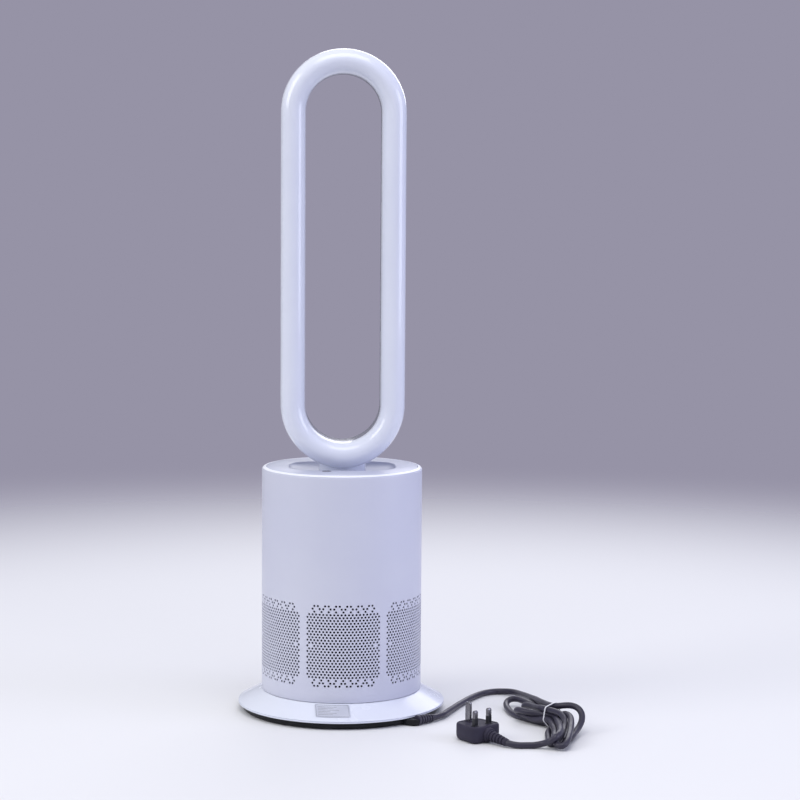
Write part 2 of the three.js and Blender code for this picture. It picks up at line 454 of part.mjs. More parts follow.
// ================================================================= mains lead
// The middle line of the whole lead, from its sleeve at the base to its sleeve at the plug.
const ROUTE = [
  [109.8, -81.9, 5.4], [114.5, -78.2, 5.2], [118.3, -73.5, 5.2], [121.3, -68.3, 5.2], [123.8, -62.9, 5.2], [126, -57.3, 5.1], [128.2, -51.7, 5], [130.3, -46.1, 4.8],
  [132.4, -40.5, 4.6], [134.6, -34.9, 4.5], [136.8, -29.3, 4.3], [139, -23.8, 4.2], [141.2, -18.2, 4.1], [143.5, -12.7, 3.9], [145.8, -7.1, 3.9], [148.3, -1.6, 3.8],
  [150.8, 3.8, 3.8], [153.3, 9.2, 3.8], [156, 14.6, 3.8], [158.7, 20, 3.8], [161.4, 25.3, 3.8], [164.3, 30.6, 3.8], [167.2, 35.8, 3.8], [170.3, 40.9, 3.8],
  [173.7, 45.9, 3.8], [177.2, 50.7, 3.8], [181.2, 55.2, 3.8], [185.7, 59.2, 3.8], [190.8, 62.3, 3.8], [196.4, 64.3, 3.8], [202.4, 64.8, 3.9], [208.3, 63.7, 4.1],
  [213.7, 61.1, 4.5], [218, 57, 4.9], [221, 51.9, 5.3], [223, 46.2, 5.9], [224.2, 40.4, 6.6], [225.3, 34.6, 7.4], [226.2, 28.7, 8.2], [227.2, 22.8, 9],
  [228.2, 17, 9.9], [229.2, 11.1, 10.7], [230.2, 5.3, 11.5], [231.2, -0.6, 12.2], [232.2, -6.5, 13], [233.1, -12.3, 13.7], [234.1, -18.2, 14.5], [235, -24.1, 15.3],
  [235.9, -30, 16.2], [236.8, -35.8, 17], [237.6, -41.7, 17.9], [238.4, -47.6, 18.5], [239.2, -53.5, 19.1], [240.1, -59.4, 19.7], [241.1, -65.3, 20.3], [242.1, -71.2, 20.9],
  [243.2, -77, 21.6], [244.3, -82.9, 22.2], [245.5, -88.8, 22.8], [246.6, -94.6, 23.4], [248, -100.4, 24.1], [249.8, -106.1, 24.8], [252.2, -111.5, 25.7], [255.6, -116.3, 26.8],
  [260.1, -120, 28.2], [265.3, -122.8, 29.5], [270.6, -125.4, 30], [275.8, -128.3, 29.3], [280, -131.9, 26.9], [282.3, -136.2, 23.4], [282.6, -140.7, 19.5], [281.5, -145.3, 15.9],
  [279.4, -150.1, 13], [276.9, -155, 10.6], [274.3, -160.2, 9], [271.9, -165.5, 7.8], [269.7, -171.1, 7.1], [267.8, -176.7, 6.7], [265.8, -182.4, 6.3], [263.6, -187.9, 5.8],
  [260.3, -192.9, 4.9], [255.2, -195.7, 4], [249.7, -193.7, 3.7], [246.8, -188.6, 3.8], [245.9, -182.6, 3.9], [246, -176.6, 3.9], [246.4, -170.7, 3.8], [246.8, -164.7, 3.8],
  [247.5, -158.7, 4], [248.5, -152.8, 4.4], [250.1, -147.1, 5], [252.1, -141.4, 5.5], [254.1, -135.8, 5.6], [255.9, -130.1, 5.5], [256.9, -124.2, 5.4], [256.8, -118.2, 5.3],
  [255.4, -112.4, 5.1], [253.1, -106.8, 4.7], [250.4, -101.5, 4.3], [247.7, -96.1, 4.1], [245.1, -90.8, 3.9], [242.6, -85.3, 3.9], [240.4, -79.7, 3.8], [238.3, -74.1, 3.8],
  [236.5, -68.4, 3.8], [234.5, -62.7, 3.8], [232.3, -57.1, 3.8], [229.4, -51.9, 4.2], [225.5, -47.7, 5.9], [221.8, -47.7, 10], [221.9, -52.5, 13.4], [223.8, -58, 15.1],
  [226.1, -63.5, 15.9], [228.3, -69, 16.4], [230.4, -74.6, 16.8], [232.1, -80.3, 17.4], [233.6, -86.1, 18.2], [235, -91.8, 19.3], [236.5, -97.5, 20.5], [238.2, -103.1, 21.7],
  [240.3, -108.7, 22.4], [242.8, -114.1, 22.7], [245.8, -119.3, 22.8], [249, -124.4, 23], [252.4, -129.3, 23.1], [255.6, -134.4, 22.8], [258.1, -139.7, 21.8], [259.7, -145.3, 20.1],
  [260.3, -150.9, 18.1], [260.1, -156.6, 16.1], [259.3, -162.2, 14.4], [258.1, -168, 13], [256.8, -173.7, 12.1], [255.4, -179.5, 11.6], [254.1, -185.4, 11.5], [252.6, -191.2, 11.5],
  [251, -197, 10.9], [249.2, -202.4, 9.2], [246.9, -207.3, 6.7], [243.2, -211.1, 4.1], [238, -209.3, 3.7], [236.2, -203.6, 3.8], [236.2, -197.6, 3.8], [236.9, -191.7, 3.8],
  [237.6, -185.7, 3.8], [238.2, -179.7, 3.8], [238.6, -173.7, 3.8], [238.9, -167.8, 3.8], [239.4, -161.8, 3.8], [240.3, -155.8, 3.8], [241.5, -150, 3.8], [243.2, -144.2, 3.8],
  [245.3, -138.6, 3.9], [247.3, -133, 4.1], [249, -127.2, 4.4], [249.4, -121.2, 4.8], [248, -115.4, 5], [245, -110.3, 4.8], [241.1, -105.7, 4.3], [237.1, -101.3, 4],
  [233.1, -96.8, 3.8], [229.4, -92.2, 3.8], [225.7, -87.4, 3.8], [222.1, -82.6, 3.8], [218.4, -77.9, 3.8], [215.1, -72.9, 3.8], [212.2, -67.6, 3.8], [209.8, -62.1, 3.8],
  [207.9, -56.4, 3.8], [206.6, -50.6, 3.8], [205.5, -44.7, 3.8], [204.8, -38.7, 3.8], [204.2, -32.8, 4], [203.7, -26.8, 4.2], [203.4, -20.8, 4.6], [203.4, -14.9, 5.3],
  [204.2, -9, 6.4], [206.7, -4, 8.3], [212, -2.6, 10], [216.9, -5.9, 10.6], [220.5, -10.7, 10.6], [223.3, -16, 10.6], [225.8, -21.4, 10.7], [228.1, -27, 10.8],
  [230.4, -32.5, 10.9], [232.6, -38.1, 11], [234.9, -43.6, 11.1], [237, -49.2, 11.2], [239.2, -54.8, 11.3], [241.2, -60.5, 11.3], [243.1, -66.2, 11.2], [244.9, -71.9, 11],
  [246.7, -77.6, 10.9], [248.4, -83.3, 10.7], [250.2, -89.1, 10.7], [251.9, -94.8, 10.8], [253.7, -100.5, 11.3], [255.4, -106.2, 12], [256.9, -111.9, 13.3], [258.3, -117.4, 15.3],
  [259.8, -122.6, 17.8], [261.8, -127.8, 20], [264.1, -133.2, 21.3], [266.1, -138.8, 21.6], [267.4, -144.6, 21], [267.8, -150.5, 19.9], [267.5, -156.4, 18.6], [266.8, -162.2, 17.4],
  [266, -168, 16.3], [265.1, -173.9, 15.4], [264.1, -179.7, 14.5], [263.1, -185.6, 13.8], [261.9, -191.4, 13], [260.7, -197.3, 12.3], [259.5, -203.1, 11.6], [258.2, -208.9, 10.8],
  [256.8, -214.7, 10], [255.2, -220.3, 8.8], [252.7, -225.5, 7.2], [248.2, -228.3, 5.1], [243.9, -224.4, 5.6], [242.3, -219.3, 8.1], [241.7, -214, 10.9], [242, -208.3, 12.7],
  [242.8, -202.4, 13.3], [243.7, -196.5, 13.4], [244.5, -190.5, 13.1], [245.1, -184.6, 12.7], [245.6, -178.6, 12.4], [246, -172.6, 12.1], [246.2, -166.7, 11.8], [246.2, -160.7, 11.7],
  [246.3, -154.7, 11.6], [246.3, -148.7, 11.6], [246.4, -142.7, 11.5], [246.4, -136.7, 11.7], [246.2, -130.7, 11.9], [245.5, -124.7, 12.1], [243.5, -119.1, 11.8], [240.2, -114.3, 10.6],
  [236.1, -110.2, 9], [232, -106, 7.8], [228.2, -101.3, 7.7], [224.9, -96.4, 8.3], [221.9, -91.2, 9.1], [218.7, -86.2, 9.5], [214.9, -81.5, 9.9], [210.1, -78.7, 11.6],
  [209.1, -82.9, 14.9], [211.8, -88.2, 16], [215.4, -93, 16.2], [219.7, -97.1, 15.9], [224.8, -100.3, 15.4], [230.3, -102.6, 15.1], [235.9, -104.7, 14.7], [241.2, -107.4, 14.8],
  [245.9, -111, 15.5], [249.4, -115.8, 16], [251.4, -121.5, 16], [252.4, -127.4, 15.7], [252.6, -133.4, 15.6], [252.5, -139.4, 15.8], [252.3, -145.4, 16], [252.1, -151.4, 16.3],
  [252, -157.3, 16.7], [251.9, -163.3, 17.1], [251.8, -169.3, 17.5], [251.6, -175.3, 17.9], [251.4, -181.3, 18.4], [251, -187.2, 18.6], [250.5, -193.2, 18.7], [249.8, -199.2, 18.6],
  [249, -205.1, 18.3], [247.8, -211, 17.8], [246.1, -216.7, 17.1], [243.3, -221.7, 15.7], [238.6, -223.8, 12.9], [234.4, -221.1, 9.7], [230.9, -216.9, 7.2], [226.8, -212.9, 5.4],
  [221.6, -210.2, 4.2], [215.7, -209.4, 3.8], [209.7, -209.6, 3.8], [203.8, -210.7, 3.9], [198.1, -212.7, 4.2], [192.2, -213.2, 4.7], [187.9, -209.2, 5.4],
];
const LEAD_END = 39, TAIL_START = 279;     // the bundle lies between these two points
const every = (a, k) => a.filter((p, i) => i % k === 0 || i === a.length - 1);
const out = (at, dir, l) => [at[0] + l * dir.x, at[1] + l * dir.y, at[2] + l * dir.z];
const leadRoute = [out(reliefStart, reliefDir, RELIEF_L + 0.6), out(reliefStart, reliefDir, RELIEF_L + 5), ...every(ROUTE.slice(3, LEAD_END + 1), 3)];
const PLUG = spin([163.9, -173.6]), PLUG_A = 41.4 * Math.PI / 180 + YAW, PLUG_T = 20.0;
const pa = [Math.cos(PLUG_A), Math.sin(PLUG_A)], pb = [-Math.sin(PLUG_A), Math.cos(PLUG_A)];
const onPlug = (a, b) => [PLUG[0] + a * pa[0] + b * pb[0], PLUG[1] + a * pa[1] + b * pb[1]];
const tailDir = V3(-pb[0], -pb[1], -0.13).normalize();
const tailStart = [...onPlug(0, -13.2), 9.2], TAIL_RELIEF_L = 29;
const tailRoute = [...every(ROUTE.slice(TAIL_START, -3), 2), out(tailStart, tailDir, TAIL_RELIEF_L + 5), out(tailStart, tailDir, TAIL_RELIEF_L + 0.6)];
add('cord_lead', bar(leadRoute, CORD_D / 2, 8, 22), cordGrey);

// the bundle's outer shape in three layers, widest on the floor
const LAYERS = [[0.15, 12.0, [[246.5, -232.5], [250.5, -232.6], [253.5, -231.2], [258.6, -224], [266.4, -193], [283.7, -150], [282.2, -147], [279.5, -145.8], [272.5, -148.6], [266, -148.2], [262, -145.5], [259.6, -141.5], [259.1, -137], [261.7, -123], [261, -109.5], [245.6, -59], [231, -21.5], [231.3, -14], [235.9, -8], [236.6, -5.5], [231.2, 26], [229.5, 28.5], [226, 29.2], [223.5, 28], [222.4, 25.5], [224, 13.5], [222.2, 7], [217, 2.8], [206, 1], [201, -4.5], [198.8, -14], [199.3, -30.5], [201.9, -50.5], [207, -70], [205.3, -78], [205.7, -81], [213.2, -86.5], [226, -106.1], [238.7, -120], [241.6, -130], [241, -136.5], [235.4, -157.5], [231, -200], [228.1, -205], [221.9, -209.5], [221.1, -213], [232.9, -226]]],
  [11.0, 22.0, [[237, -228], [241.5, -228], [249, -225.1], [256, -225.6], [258.8, -223.5], [265.1, -199], [270.1, -172], [272.3, -168.5], [277.1, -164.5], [282.1, -155], [286.4, -145], [287.2, -138], [285.5, -132], [282.2, -127.5], [265.5, -117.6], [262.1, -113], [243.9, -53.5], [231.3, 25.5], [229.5, 28.5], [226.5, 29.2], [224, 28.4], [222.4, 25.5], [224.4, 11], [222.6, 5], [217.5, 1.8], [207.5, 1.6], [204.8, 0], [203.5, -2.5], [205.5, -6.6], [212.5, -9], [216, -12.1], [223.1, -26.5], [225.3, -34.5], [224.2, -39], [218.5, -44.5], [216.9, -48.5], [220.7, -63.5], [220, -69], [216, -73], [206.5, -75.5], [204.7, -78], [204.3, -81.5], [206.9, -89], [212.3, -96.5], [218.1, -101.5], [229.2, -108], [238.4, -119.5], [240.7, -124.5], [241.7, -131], [241.7, -167], [240.1, -188.5], [236.9, -210], [234.7, -213.5], [230, -217.1], [228.9, -220], [231.5, -224.7]]],
  [21.0, 34.0, [[245, -221.1], [249, -220.2], [251.5, -215], [257.5, -173], [261.5, -169], [270, -166.5], [273.3, -153], [277, -149.3], [285.5, -146.2], [287.2, -138], [285.5, -132], [282.2, -127.5], [260.5, -114.6], [255.7, -108.5], [250.3, -90], [241.2, -35.5], [239.7, -33], [237, -32], [234, -33.1], [232.3, -36.5], [235.7, -66], [233.2, -70.5], [227.5, -74.5], [226.9, -78.5], [236.4, -111.5], [252.6, -138.5], [255.7, -149.5], [254.2, -155.5], [247.4, -163], [245.7, -195.5], [241.6, -216.5], [242.4, -219.5]]]];
// white wire tie: the hull of the seven runs where it goes round them
const TIE = spin([253.5, -109.0, 0]), TIE_DIR = spin([0.42, -0.9075]).slice(0, 2), TIE_SIDE = [TIE_DIR[1], -TIE_DIR[0]];
const RUNS = [[-1.9, 26.0], [7.6, 22.8], [9.5, 11.6], [3.8, 5.1], [-4.3, 5.1], [-6.0, 13.2]];
function hullOf(r, low) {
  const q = [];
  for (const [w, z] of RUNS) for (let i = 0; i < 12; i++) { const t = Math.PI * i / 6; q.push([w + r * Math.cos(t), Math.max(low, z + r * Math.sin(t))]); }
  q.sort((m, n) => m[0] - n[0] || m[1] - n[1]);
  const turn = (o, m, n) => (m[0] - o[0]) * (n[1] - o[1]) - (m[1] - o[1]) * (n[0] - o[0]);
  const half = (list) => { const h = []; for (const v of list) { while (h.length > 1 && turn(h[h.length - 2], h[h.length - 1], v) < 1e-3) h.pop(); h.push(v); } h.pop(); return h; };
  return half(q).concat(half(q.slice().reverse()));
}
// an outline in the tie's own plane, made as thick as l to both sides
function acrossTie(outline, l) {
  const g = raised(outline, -l, l);
  const m = new THREE.Matrix4().makeBasis(V3(TIE_SIDE[0], TIE_SIDE[1], 0), V3(0, 0, 1), V3(TIE_DIR[0], TIE_DIR[1], 0));
  m.setPosition(TIE[0], TIE[1], 0);
  return g.applyMatrix4(m);
}
let hank = LAYERS.map(([z0, z1, o]) => solid(raised(o, z0, z1))).reduce((m, n) => m.add(n));
hank = hank.subtract(solid(acrossTie([[-60, -5], [60, -5], [60, 60], [-60, 60]], 1.5)).subtract(solid(acrossTie(hullOf(3.75, 1.2), 1.6))));
const hankEnd = (list) => solid(bar(list, CORD_D / 2 + 0.8, 8, 24));
hank = hank.subtract(hankEnd([...leadRoute, ROUTE[LEAD_END + 1]])).subtract(hankEnd([ROUTE[TAIL_START - 1], ...tailRoute]));
hank = hank.decompose().sort((m, n) => n.volume() - m.volume())[0];
add('cord_hank', hank, cordGrey);
add('cord_tie', solid(acrossTie(hullOf(5.0, 0.15), 1.1)).subtract(solid(acrossTie(hullOf(4.1, 0.85), 2))), tieWhite);

add('cord_tail', bar(tailRoute, CORD_D / 2, 8, 14), cordGrey);
{
  const g = turned([[0, 0], [6.6, 0], [6.6, 4.4], [5.1, 5.2], [6.1, 7.4], [6.1, 10.2], [4.8, 11.4], [5.7, 13.4], [5.7, 16.4], [4.5, 17.6], [5.2, 19.6], [5.2, 24.0], [4.1, TAIL_RELIEF_L], [0, TAIL_RELIEF_L]], 10);
  add('plug_strain_relief', along(g, ...tailStart, tailDir), cordGrey);
  // plug body, lying with its pins up
  const o = [];
  const arc = (cx, cy, r, a0, a1, n) => { for (let i = 0; i <= n; i++) { const a = (a0 + (a1 - a0) * i / n) * Math.PI / 180; o.push([cx + r * Math.cos(a), cy + r * Math.sin(a)]); } };
  arc(-13.0, -2.0, 9.0, 180, 270, 4); arc(13.5, -2.0, 9.2, 270, 360, 4); arc(7.6, 17.4, 13.2, 15, 75, 4); arc(-6.4, 17.4, 13.0, 105, 165, 4);
  const s = new THREE.Shape(o.map(([x, y]) => V2(x, y)));
  const body = new THREE.ExtrudeGeometry(s, { depth: PLUG_T - 3.2, bevelEnabled: true, bevelThickness: 1.6, bevelSize: 0.8, bevelOffset: 0, bevelSegments: 1, steps: 1 });
  body.translate(0, 0, 1.6); body.rotateZ(PLUG_A); body.translate(PLUG[0], PLUG[1], 0);
  add('plug_body', body, cordGrey);
  const pin = (w, d, len) => { const k = new THREE.Shape([V2(-w / 2, -d / 2), V2(w / 2, -d / 2), V2(w / 2, d / 2), V2(-w / 2, d / 2)]); const q = new THREE.ExtrudeGeometry(k, { depth: len - 1, bevelEnabled: true, bevelThickness: 1, bevelSize: 0, bevelSegments: 1, steps: 1 }); return q; };
  const placePin = (name, a, b, w, d, len) => {
    const z0 = PLUG_T + GAP, g2 = new THREE.BufferGeometry();
    const ch = 0.7, pts = [], ix = [];
    for (const [z, k] of [[0, 0], [len - 1.0, 0], [len, ch]]) for (const [sx, sy] of [[-1, -1], [1, -1], [1, 1], [-1, 1]]) pts.push(sx * (w / 2 - k), sy * (d / 2 - k), z);
    ix.push(0, 2, 1, 0, 3, 2);
    for (let l = 0; l < 2; l++) for (let k = 0; k < 4; k++) { const p = l * 4 + k, q = l * 4 + (k + 1) % 4; ix.push(p, q, q + 4, p, q + 4, p + 4); }
    ix.push(8, 9, 10, 8, 10, 11);
    g2.setAttribute('position', new THREE.BufferAttribute(Float32Array.from(pts), 3)); g2.setIndex(ix);
    g2.rotateZ(PLUG_A);
    const c = onPlug(a, b); g2.translate(c[0], c[1], z0);
    add(name, g2, steel);
  };
  placePin('plug_pin_live', -11.1, 0, 6.35, 4.0, 17.4);
  placePin('plug_pin_neutral', 11.1, 0, 6.35, 4.0, 17.4);
  placePin('plug_pin_earth', 0, 22.2, 4.0, 8.0, 22.4);
}

export default group;
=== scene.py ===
# Bladeless tower fan seen from the back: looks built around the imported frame.
# Lengths below are in millimetres and are turned into metres by MM.
import bpy, bmesh, math
import numpy as np
from mathutils import Vector, Matrix


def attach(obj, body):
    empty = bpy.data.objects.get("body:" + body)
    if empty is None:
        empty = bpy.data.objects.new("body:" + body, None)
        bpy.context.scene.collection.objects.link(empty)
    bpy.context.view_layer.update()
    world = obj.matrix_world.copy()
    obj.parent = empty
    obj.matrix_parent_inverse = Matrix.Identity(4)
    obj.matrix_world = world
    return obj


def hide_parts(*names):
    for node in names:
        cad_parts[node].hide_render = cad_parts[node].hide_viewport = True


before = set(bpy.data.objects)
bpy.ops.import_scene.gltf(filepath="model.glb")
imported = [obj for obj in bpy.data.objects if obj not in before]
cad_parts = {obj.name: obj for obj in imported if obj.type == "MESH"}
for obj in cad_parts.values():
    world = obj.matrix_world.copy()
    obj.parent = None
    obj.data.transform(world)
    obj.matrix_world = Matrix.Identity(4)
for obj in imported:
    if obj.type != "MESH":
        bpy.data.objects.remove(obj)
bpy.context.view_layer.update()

MM = 0.001
YAW = -1.1 * math.pi / 180
scene = bpy.context.scene

def spin(p):
    x, y = p[0], p[1]
    z = p[2] if len(p) > 2 else 0.0
    return np.array([x * math.cos(YAW) - y * math.sin(YAW), x * math.sin(YAW) + y * math.cos(YAW), z])

def unit(v):
    v = np.asarray(v, float)
    return v / np.linalg.norm(v)

# ------------------------------------------------------------------ camera
cam_data = bpy.data.cameras.new("camera")
cam_data.lens = 105.02
cam_data.sensor_width = 36.0
cam_data.sensor_fit = "HORIZONTAL"
cam_data.clip_start, cam_data.clip_end = 0.1, 50.0
camera = bpy.data.objects.new("camera", cam_data)
scene.collection.objects.link(camera)
cy, cp, cr = 0.0440, 0.0992, 0.0066
fw = np.array([math.sin(cy) * math.cos(cp), math.cos(cy) * math.cos(cp), -math.sin(cp)])
rt = np.array([math.cos(cy), -math.sin(cy), 0.0])
up = np.cross(rt, fw)
rt2, up2 = rt * math.cos(cr) + up * math.sin(cr), -rt * math.sin(cr) + up * math.cos(cr)
camera.matrix_world = Matrix(((rt2[0], up2[0], -fw[0], -54.5 * MM), (rt2[1], up2[1], -fw[1], -2837.2 * MM), (rt2[2], up2[2], -fw[2], 664.1 * MM), (0, 0, 0, 1)))
scene.camera = camera

# ------------------------------------------------------------------ materials
def material(name, base, other=None, rough=0.4, rough_var=0.06, metal=0.0, patch=14.0, grain=900.0, bump=0.02, bump_mm=0.05,
             coat=0.0, coat_rough=0.1, spec=0.5, sheen=0.0, streak=None, wear=None, aniso=0.0):
    # base and other are linear colours that drift into each other over patches; grain is a fine moulded texture
    m = bpy.data.materials.new(name)
    m.use_nodes = True
    nt = m.node_tree
    for n in list(nt.nodes):
        nt.nodes.remove(n)
    N = nt.nodes.new
    L = nt.links.new
    out = N("ShaderNodeOutputMaterial")
    p = N("ShaderNodeBsdfPrincipled")
    L(p.outputs["BSDF"], out.inputs["Surface"])
    p.inputs["Metallic"].default_value = metal
    p.inputs["Coat Weight"].default_value = coat
    p.inputs["Coat Roughness"].default_value = coat_rough
    p.inputs["Specular IOR Level"].default_value = spec
    p.inputs["Sheen Weight"].default_value = sheen
    p.inputs["Anisotropic"].default_value = aniso
    tc = N("ShaderNodeTexCoord")
    n1 = N("ShaderNodeTexNoise"); n1.inputs["Scale"].default_value = patch; n1.inputs["Detail"].default_value = 4.0
    L(tc.outputs["Object"], n1.inputs["Vector"])
    ramp = N("ShaderNodeValToRGB")
    ramp.color_ramp.elements[0].position, ramp.color_ramp.elements[1].position = 0.35, 0.65
    ramp.color_ramp.elements[0].color = (*base, 1)
    ramp.color_ramp.elements[1].color = (*(other or tuple(c * 0.94 for c in base)), 1)
    L(n1.outputs["Fac"], ramp.inputs["Fac"])
    colour = ramp.outputs["Color"]
    n2 = N("ShaderNodeTexNoise"); n2.inputs["Scale"].default_value = grain; n2.inputs["Detail"].default_value = 3.0
    if streak:      # stretched grain, such as brushing or extrusion lines
        mp = N("ShaderNodeMapping"); mp.inputs["Scale"].default_value = streak
        L(tc.outputs["Object"], mp.inputs["Vector"]); L(mp.outputs["Vector"], n2.inputs["Vector"])
    else:
        L(tc.outputs["Object"], n2.inputs["Vector"])
    if wear:        # a second colour that shows on worn edges, by how much the surface bends
        geo = N("ShaderNodeNewGeometry")
        wr = N("ShaderNodeMapRange"); wr.inputs["From Min"].default_value, wr.inputs["From Max"].default_value = 0.52, 0.62
        L(geo.outputs["Pointiness"], wr.inputs["Value"])
        wn = N("ShaderNodeMath"); wn.operation = "MULTIPLY"; L(wr.outputs["Result"], wn.inputs[0]); L(n1.outputs["Fac"], wn.inputs[1])
        mx = N("ShaderNodeMix"); mx.data_type = "RGBA"
        L(wn.outputs[0], mx.inputs["Factor"]); L(colour, mx.inputs[6]); mx.inputs[7].default_value = (*wear, 1)
        colour = mx.outputs[2]
    L(colour, p.inputs["Base Color"])
    n3 = N("ShaderNodeTexNoise"); n3.inputs["Scale"].default_value = patch * 3.1; n3.inputs["Detail"].default_value = 5.0
    L(tc.outputs["Object"], n3.inputs["Vector"])
    mr = N("ShaderNodeMapRange")
    mr.inputs["From Min"].default_value, mr.inputs["From Max"].default_value = 0.3, 0.7
    mr.inputs["To Min"].default_value, mr.inputs["To Max"].default_value = max(0.02, rough - rough_var), min(1.0, rough + rough_var)
    L(n3.outputs["Fac"], mr.inputs["Value"]); L(mr.outputs["Result"], p.inputs["Roughness"])
    b = N("ShaderNodeBump"); b.inputs["Strength"].default_value = bump; b.inputs["Distance"].default_value = bump_mm * MM
    L(n2.outputs["Fac"], b.inputs["Height"]); L(b.outputs["Normal"], p.inputs["Normal"])
    return m

WHITE_LOOP = material("gloss_white_shell", (0.76, 0.79, 0.89), (0.735, 0.765, 0.875), rough=0.17, rough_var=0.03, patch=9, grain=1500, bump=0.05, bump_mm=0.02, coat=0.35, coat_rough=0.07)
WHITE_DRUM = material("satin_white_drum", (0.635, 0.65, 0.755), (0.60, 0.615, 0.735), rough=0.38, rough_var=0.05, patch=8, grain=2600, bump=0.10, bump_mm=0.03, coat=0.1, coat_rough=0.3)
WHITE_BASE = material("gloss_white_base", (0.755, 0.785, 0.875), (0.73, 0.76, 0.86), rough=0.24, rough_var=0.04, patch=9, grain=1800, bump=0.06, bump_mm=0.02, coat=0.25, coat_rough=0.12)
# painted shade: the cover's white is a darker copy of the drum white, standing in for less light on its upward face
WHITE_COVER_SHADED = material("satin_white_cover_painted_shade", (0.52, 0.54, 0.655), (0.50, 0.52, 0.635), rough=0.36, rough_var=0.03, patch=11, grain=2400, bump=0.04, bump_mm=0.02, coat=0.05, coat_rough=0.25, spec=0.35)
THROAT = material("throat_grey", (0.20, 0.20, 0.255), (0.17, 0.17, 0.22), rough=0.26, rough_var=0.05, patch=10, grain=1500, bump=0.06, bump_mm=0.02, coat=0.15)
BLACK = material("black_plastic", (0.007, 0.007, 0.009), (0.011, 0.011, 0.014), spec=0.2, rough=0.42, rough_var=0.08, patch=30, grain=2200, bump=0.25, bump_mm=0.05, wear=(0.05, 0.05, 0.055))
RUBBER = material("rubber", (0.012, 0.012, 0.014), (0.02, 0.02, 0.022), rough=0.85, rough_var=0.08, patch=60, grain=3000, bump=0.5, bump_mm=0.08)
# painted shade: a near-black colour for a sheet standing in for the shade deep inside the drum behind the holes
SHADE_SHEET = material("painted_shade_sheet", (0.008, 0.008, 0.012), (0.014, 0.014, 0.02), rough=0.9, rough_var=0.05, patch=30, grain=600, bump=0.3, bump_mm=0.1, spec=0.1)
# painted shade: a darker copy of the drum white, used for the walls of the holes
BORE_SHADED = material("drum_bore_painted_shade", (0.48, 0.49, 0.57), (0.44, 0.45, 0.53), rough=0.6, rough_var=0.05, patch=40, grain=2400, bump=0.1, bump_mm=0.03, spec=0.2)
CORD = material("cord_grey", (0.040, 0.036, 0.058), (0.031, 0.028, 0.046), spec=0.32, rough=0.34, rough_var=0.07, patch=45, grain=1900, bump=0.18, bump_mm=0.05, coat=0.06, coat_rough=0.25)
PLUG_M = material("plug_grey", (0.046, 0.042, 0.064), (0.038, 0.035, 0.054), spec=0.08, rough=0.5, rough_var=0.07, patch=40, grain=2400, bump=0.3, bump_mm=0.05)
STEEL = material("steel", (0.55, 0.55, 0.58), (0.46, 0.46, 0.49), rough=0.28, rough_var=0.08, metal=1.0, patch=120, grain=700, streak=(1, 1, 14), bump=0.15, bump_mm=0.03)
PIN = material("pin_metal", (0.24, 0.235, 0.25), (0.17, 0.165, 0.18), rough=0.24, rough_var=0.08, metal=1.0, patch=160, grain=900, streak=(1, 1, 12), bump=0.15, bump_mm=0.02)
SLEEVE = material("pin_sleeve", (0.012, 0.012, 0.016), (0.02, 0.02, 0.024), rough=0.35, rough_var=0.06, patch=90, grain=3000, bump=0.15, bump_mm=0.03)
BRASS = material("brass", (0.58, 0.43, 0.20), (0.50, 0.36, 0.16), rough=0.3, rough_var=0.07, metal=1.0, patch=80, grain=1200, bump=0.15, bump_mm=0.03)
NYLON = material("nylon", (0.72, 0.70, 0.62), (0.68, 0.66, 0.57), rough=0.5, rough_var=0.06, patch=40, grain=2500, bump=0.2, bump_mm=0.04)
GREY = material("grey_plastic", (0.25, 0.26, 0.30), (0.22, 0.23, 0.27), rough=0.45, rough_var=0.07, patch=30, grain=2200, bump=0.25, bump_mm=0.05)
BUTTON = material("button_grey", (0.16, 0.16, 0.19), (0.14, 0.14, 0.17), rough=0.3, rough_var=0.05, patch=60, grain=2600, bump=0.15, bump_mm=0.03, coat=0.3)
GLASS = material("panel_black", (0.006, 0.006, 0.009), (0.009, 0.009, 0.013), rough=0.06, rough_var=0.02, patch=20, grain=800, bump=0.02, bump_mm=0.01, coat=0.6, coat_rough=0.03)
BOARD = material("board_green", (0.012, 0.10, 0.045), (0.016, 0.13, 0.055), rough=0.4, rough_var=0.06, patch=150, grain=1600, bump=0.3, bump_mm=0.05)
PAPER = material("filter_paper", (0.78, 0.76, 0.70), (0.70, 0.68, 0.62), rough=0.95, rough_var=0.04, patch=120, grain=1800, bump=0.7, bump_mm=0.2)
LABEL = material("label_silver", (0.60, 0.62, 0.70), (0.54, 0.56, 0.64), rough=0.36, rough_var=0.05, metal=0.25, patch=60, grain=900, streak=(12, 1, 1), bump=0.12, bump_mm=0.02)
RULE = material("label_rule", (0.05, 0.05, 0.065), (0.075, 0.075, 0.095), rough=0.5, rough_var=0.05, patch=200, grain=2500, bump=0.1, bump_mm=0.01)
TIE = material("tie_white", (0.80, 0.80, 0.84), (0.74, 0.74, 0.79), rough=0.35, rough_var=0.06, patch=160, grain=3000, bump=0.2, bump_mm=0.03)
MOTOR = material("motor_steel", (0.42, 0.42, 0.45), (0.34, 0.34, 0.37), rough=0.35, rough_var=0.08, metal=0.9, patch=40, grain=900, streak=(1, 1, 10), bump=0.15, bump_mm=0.03)

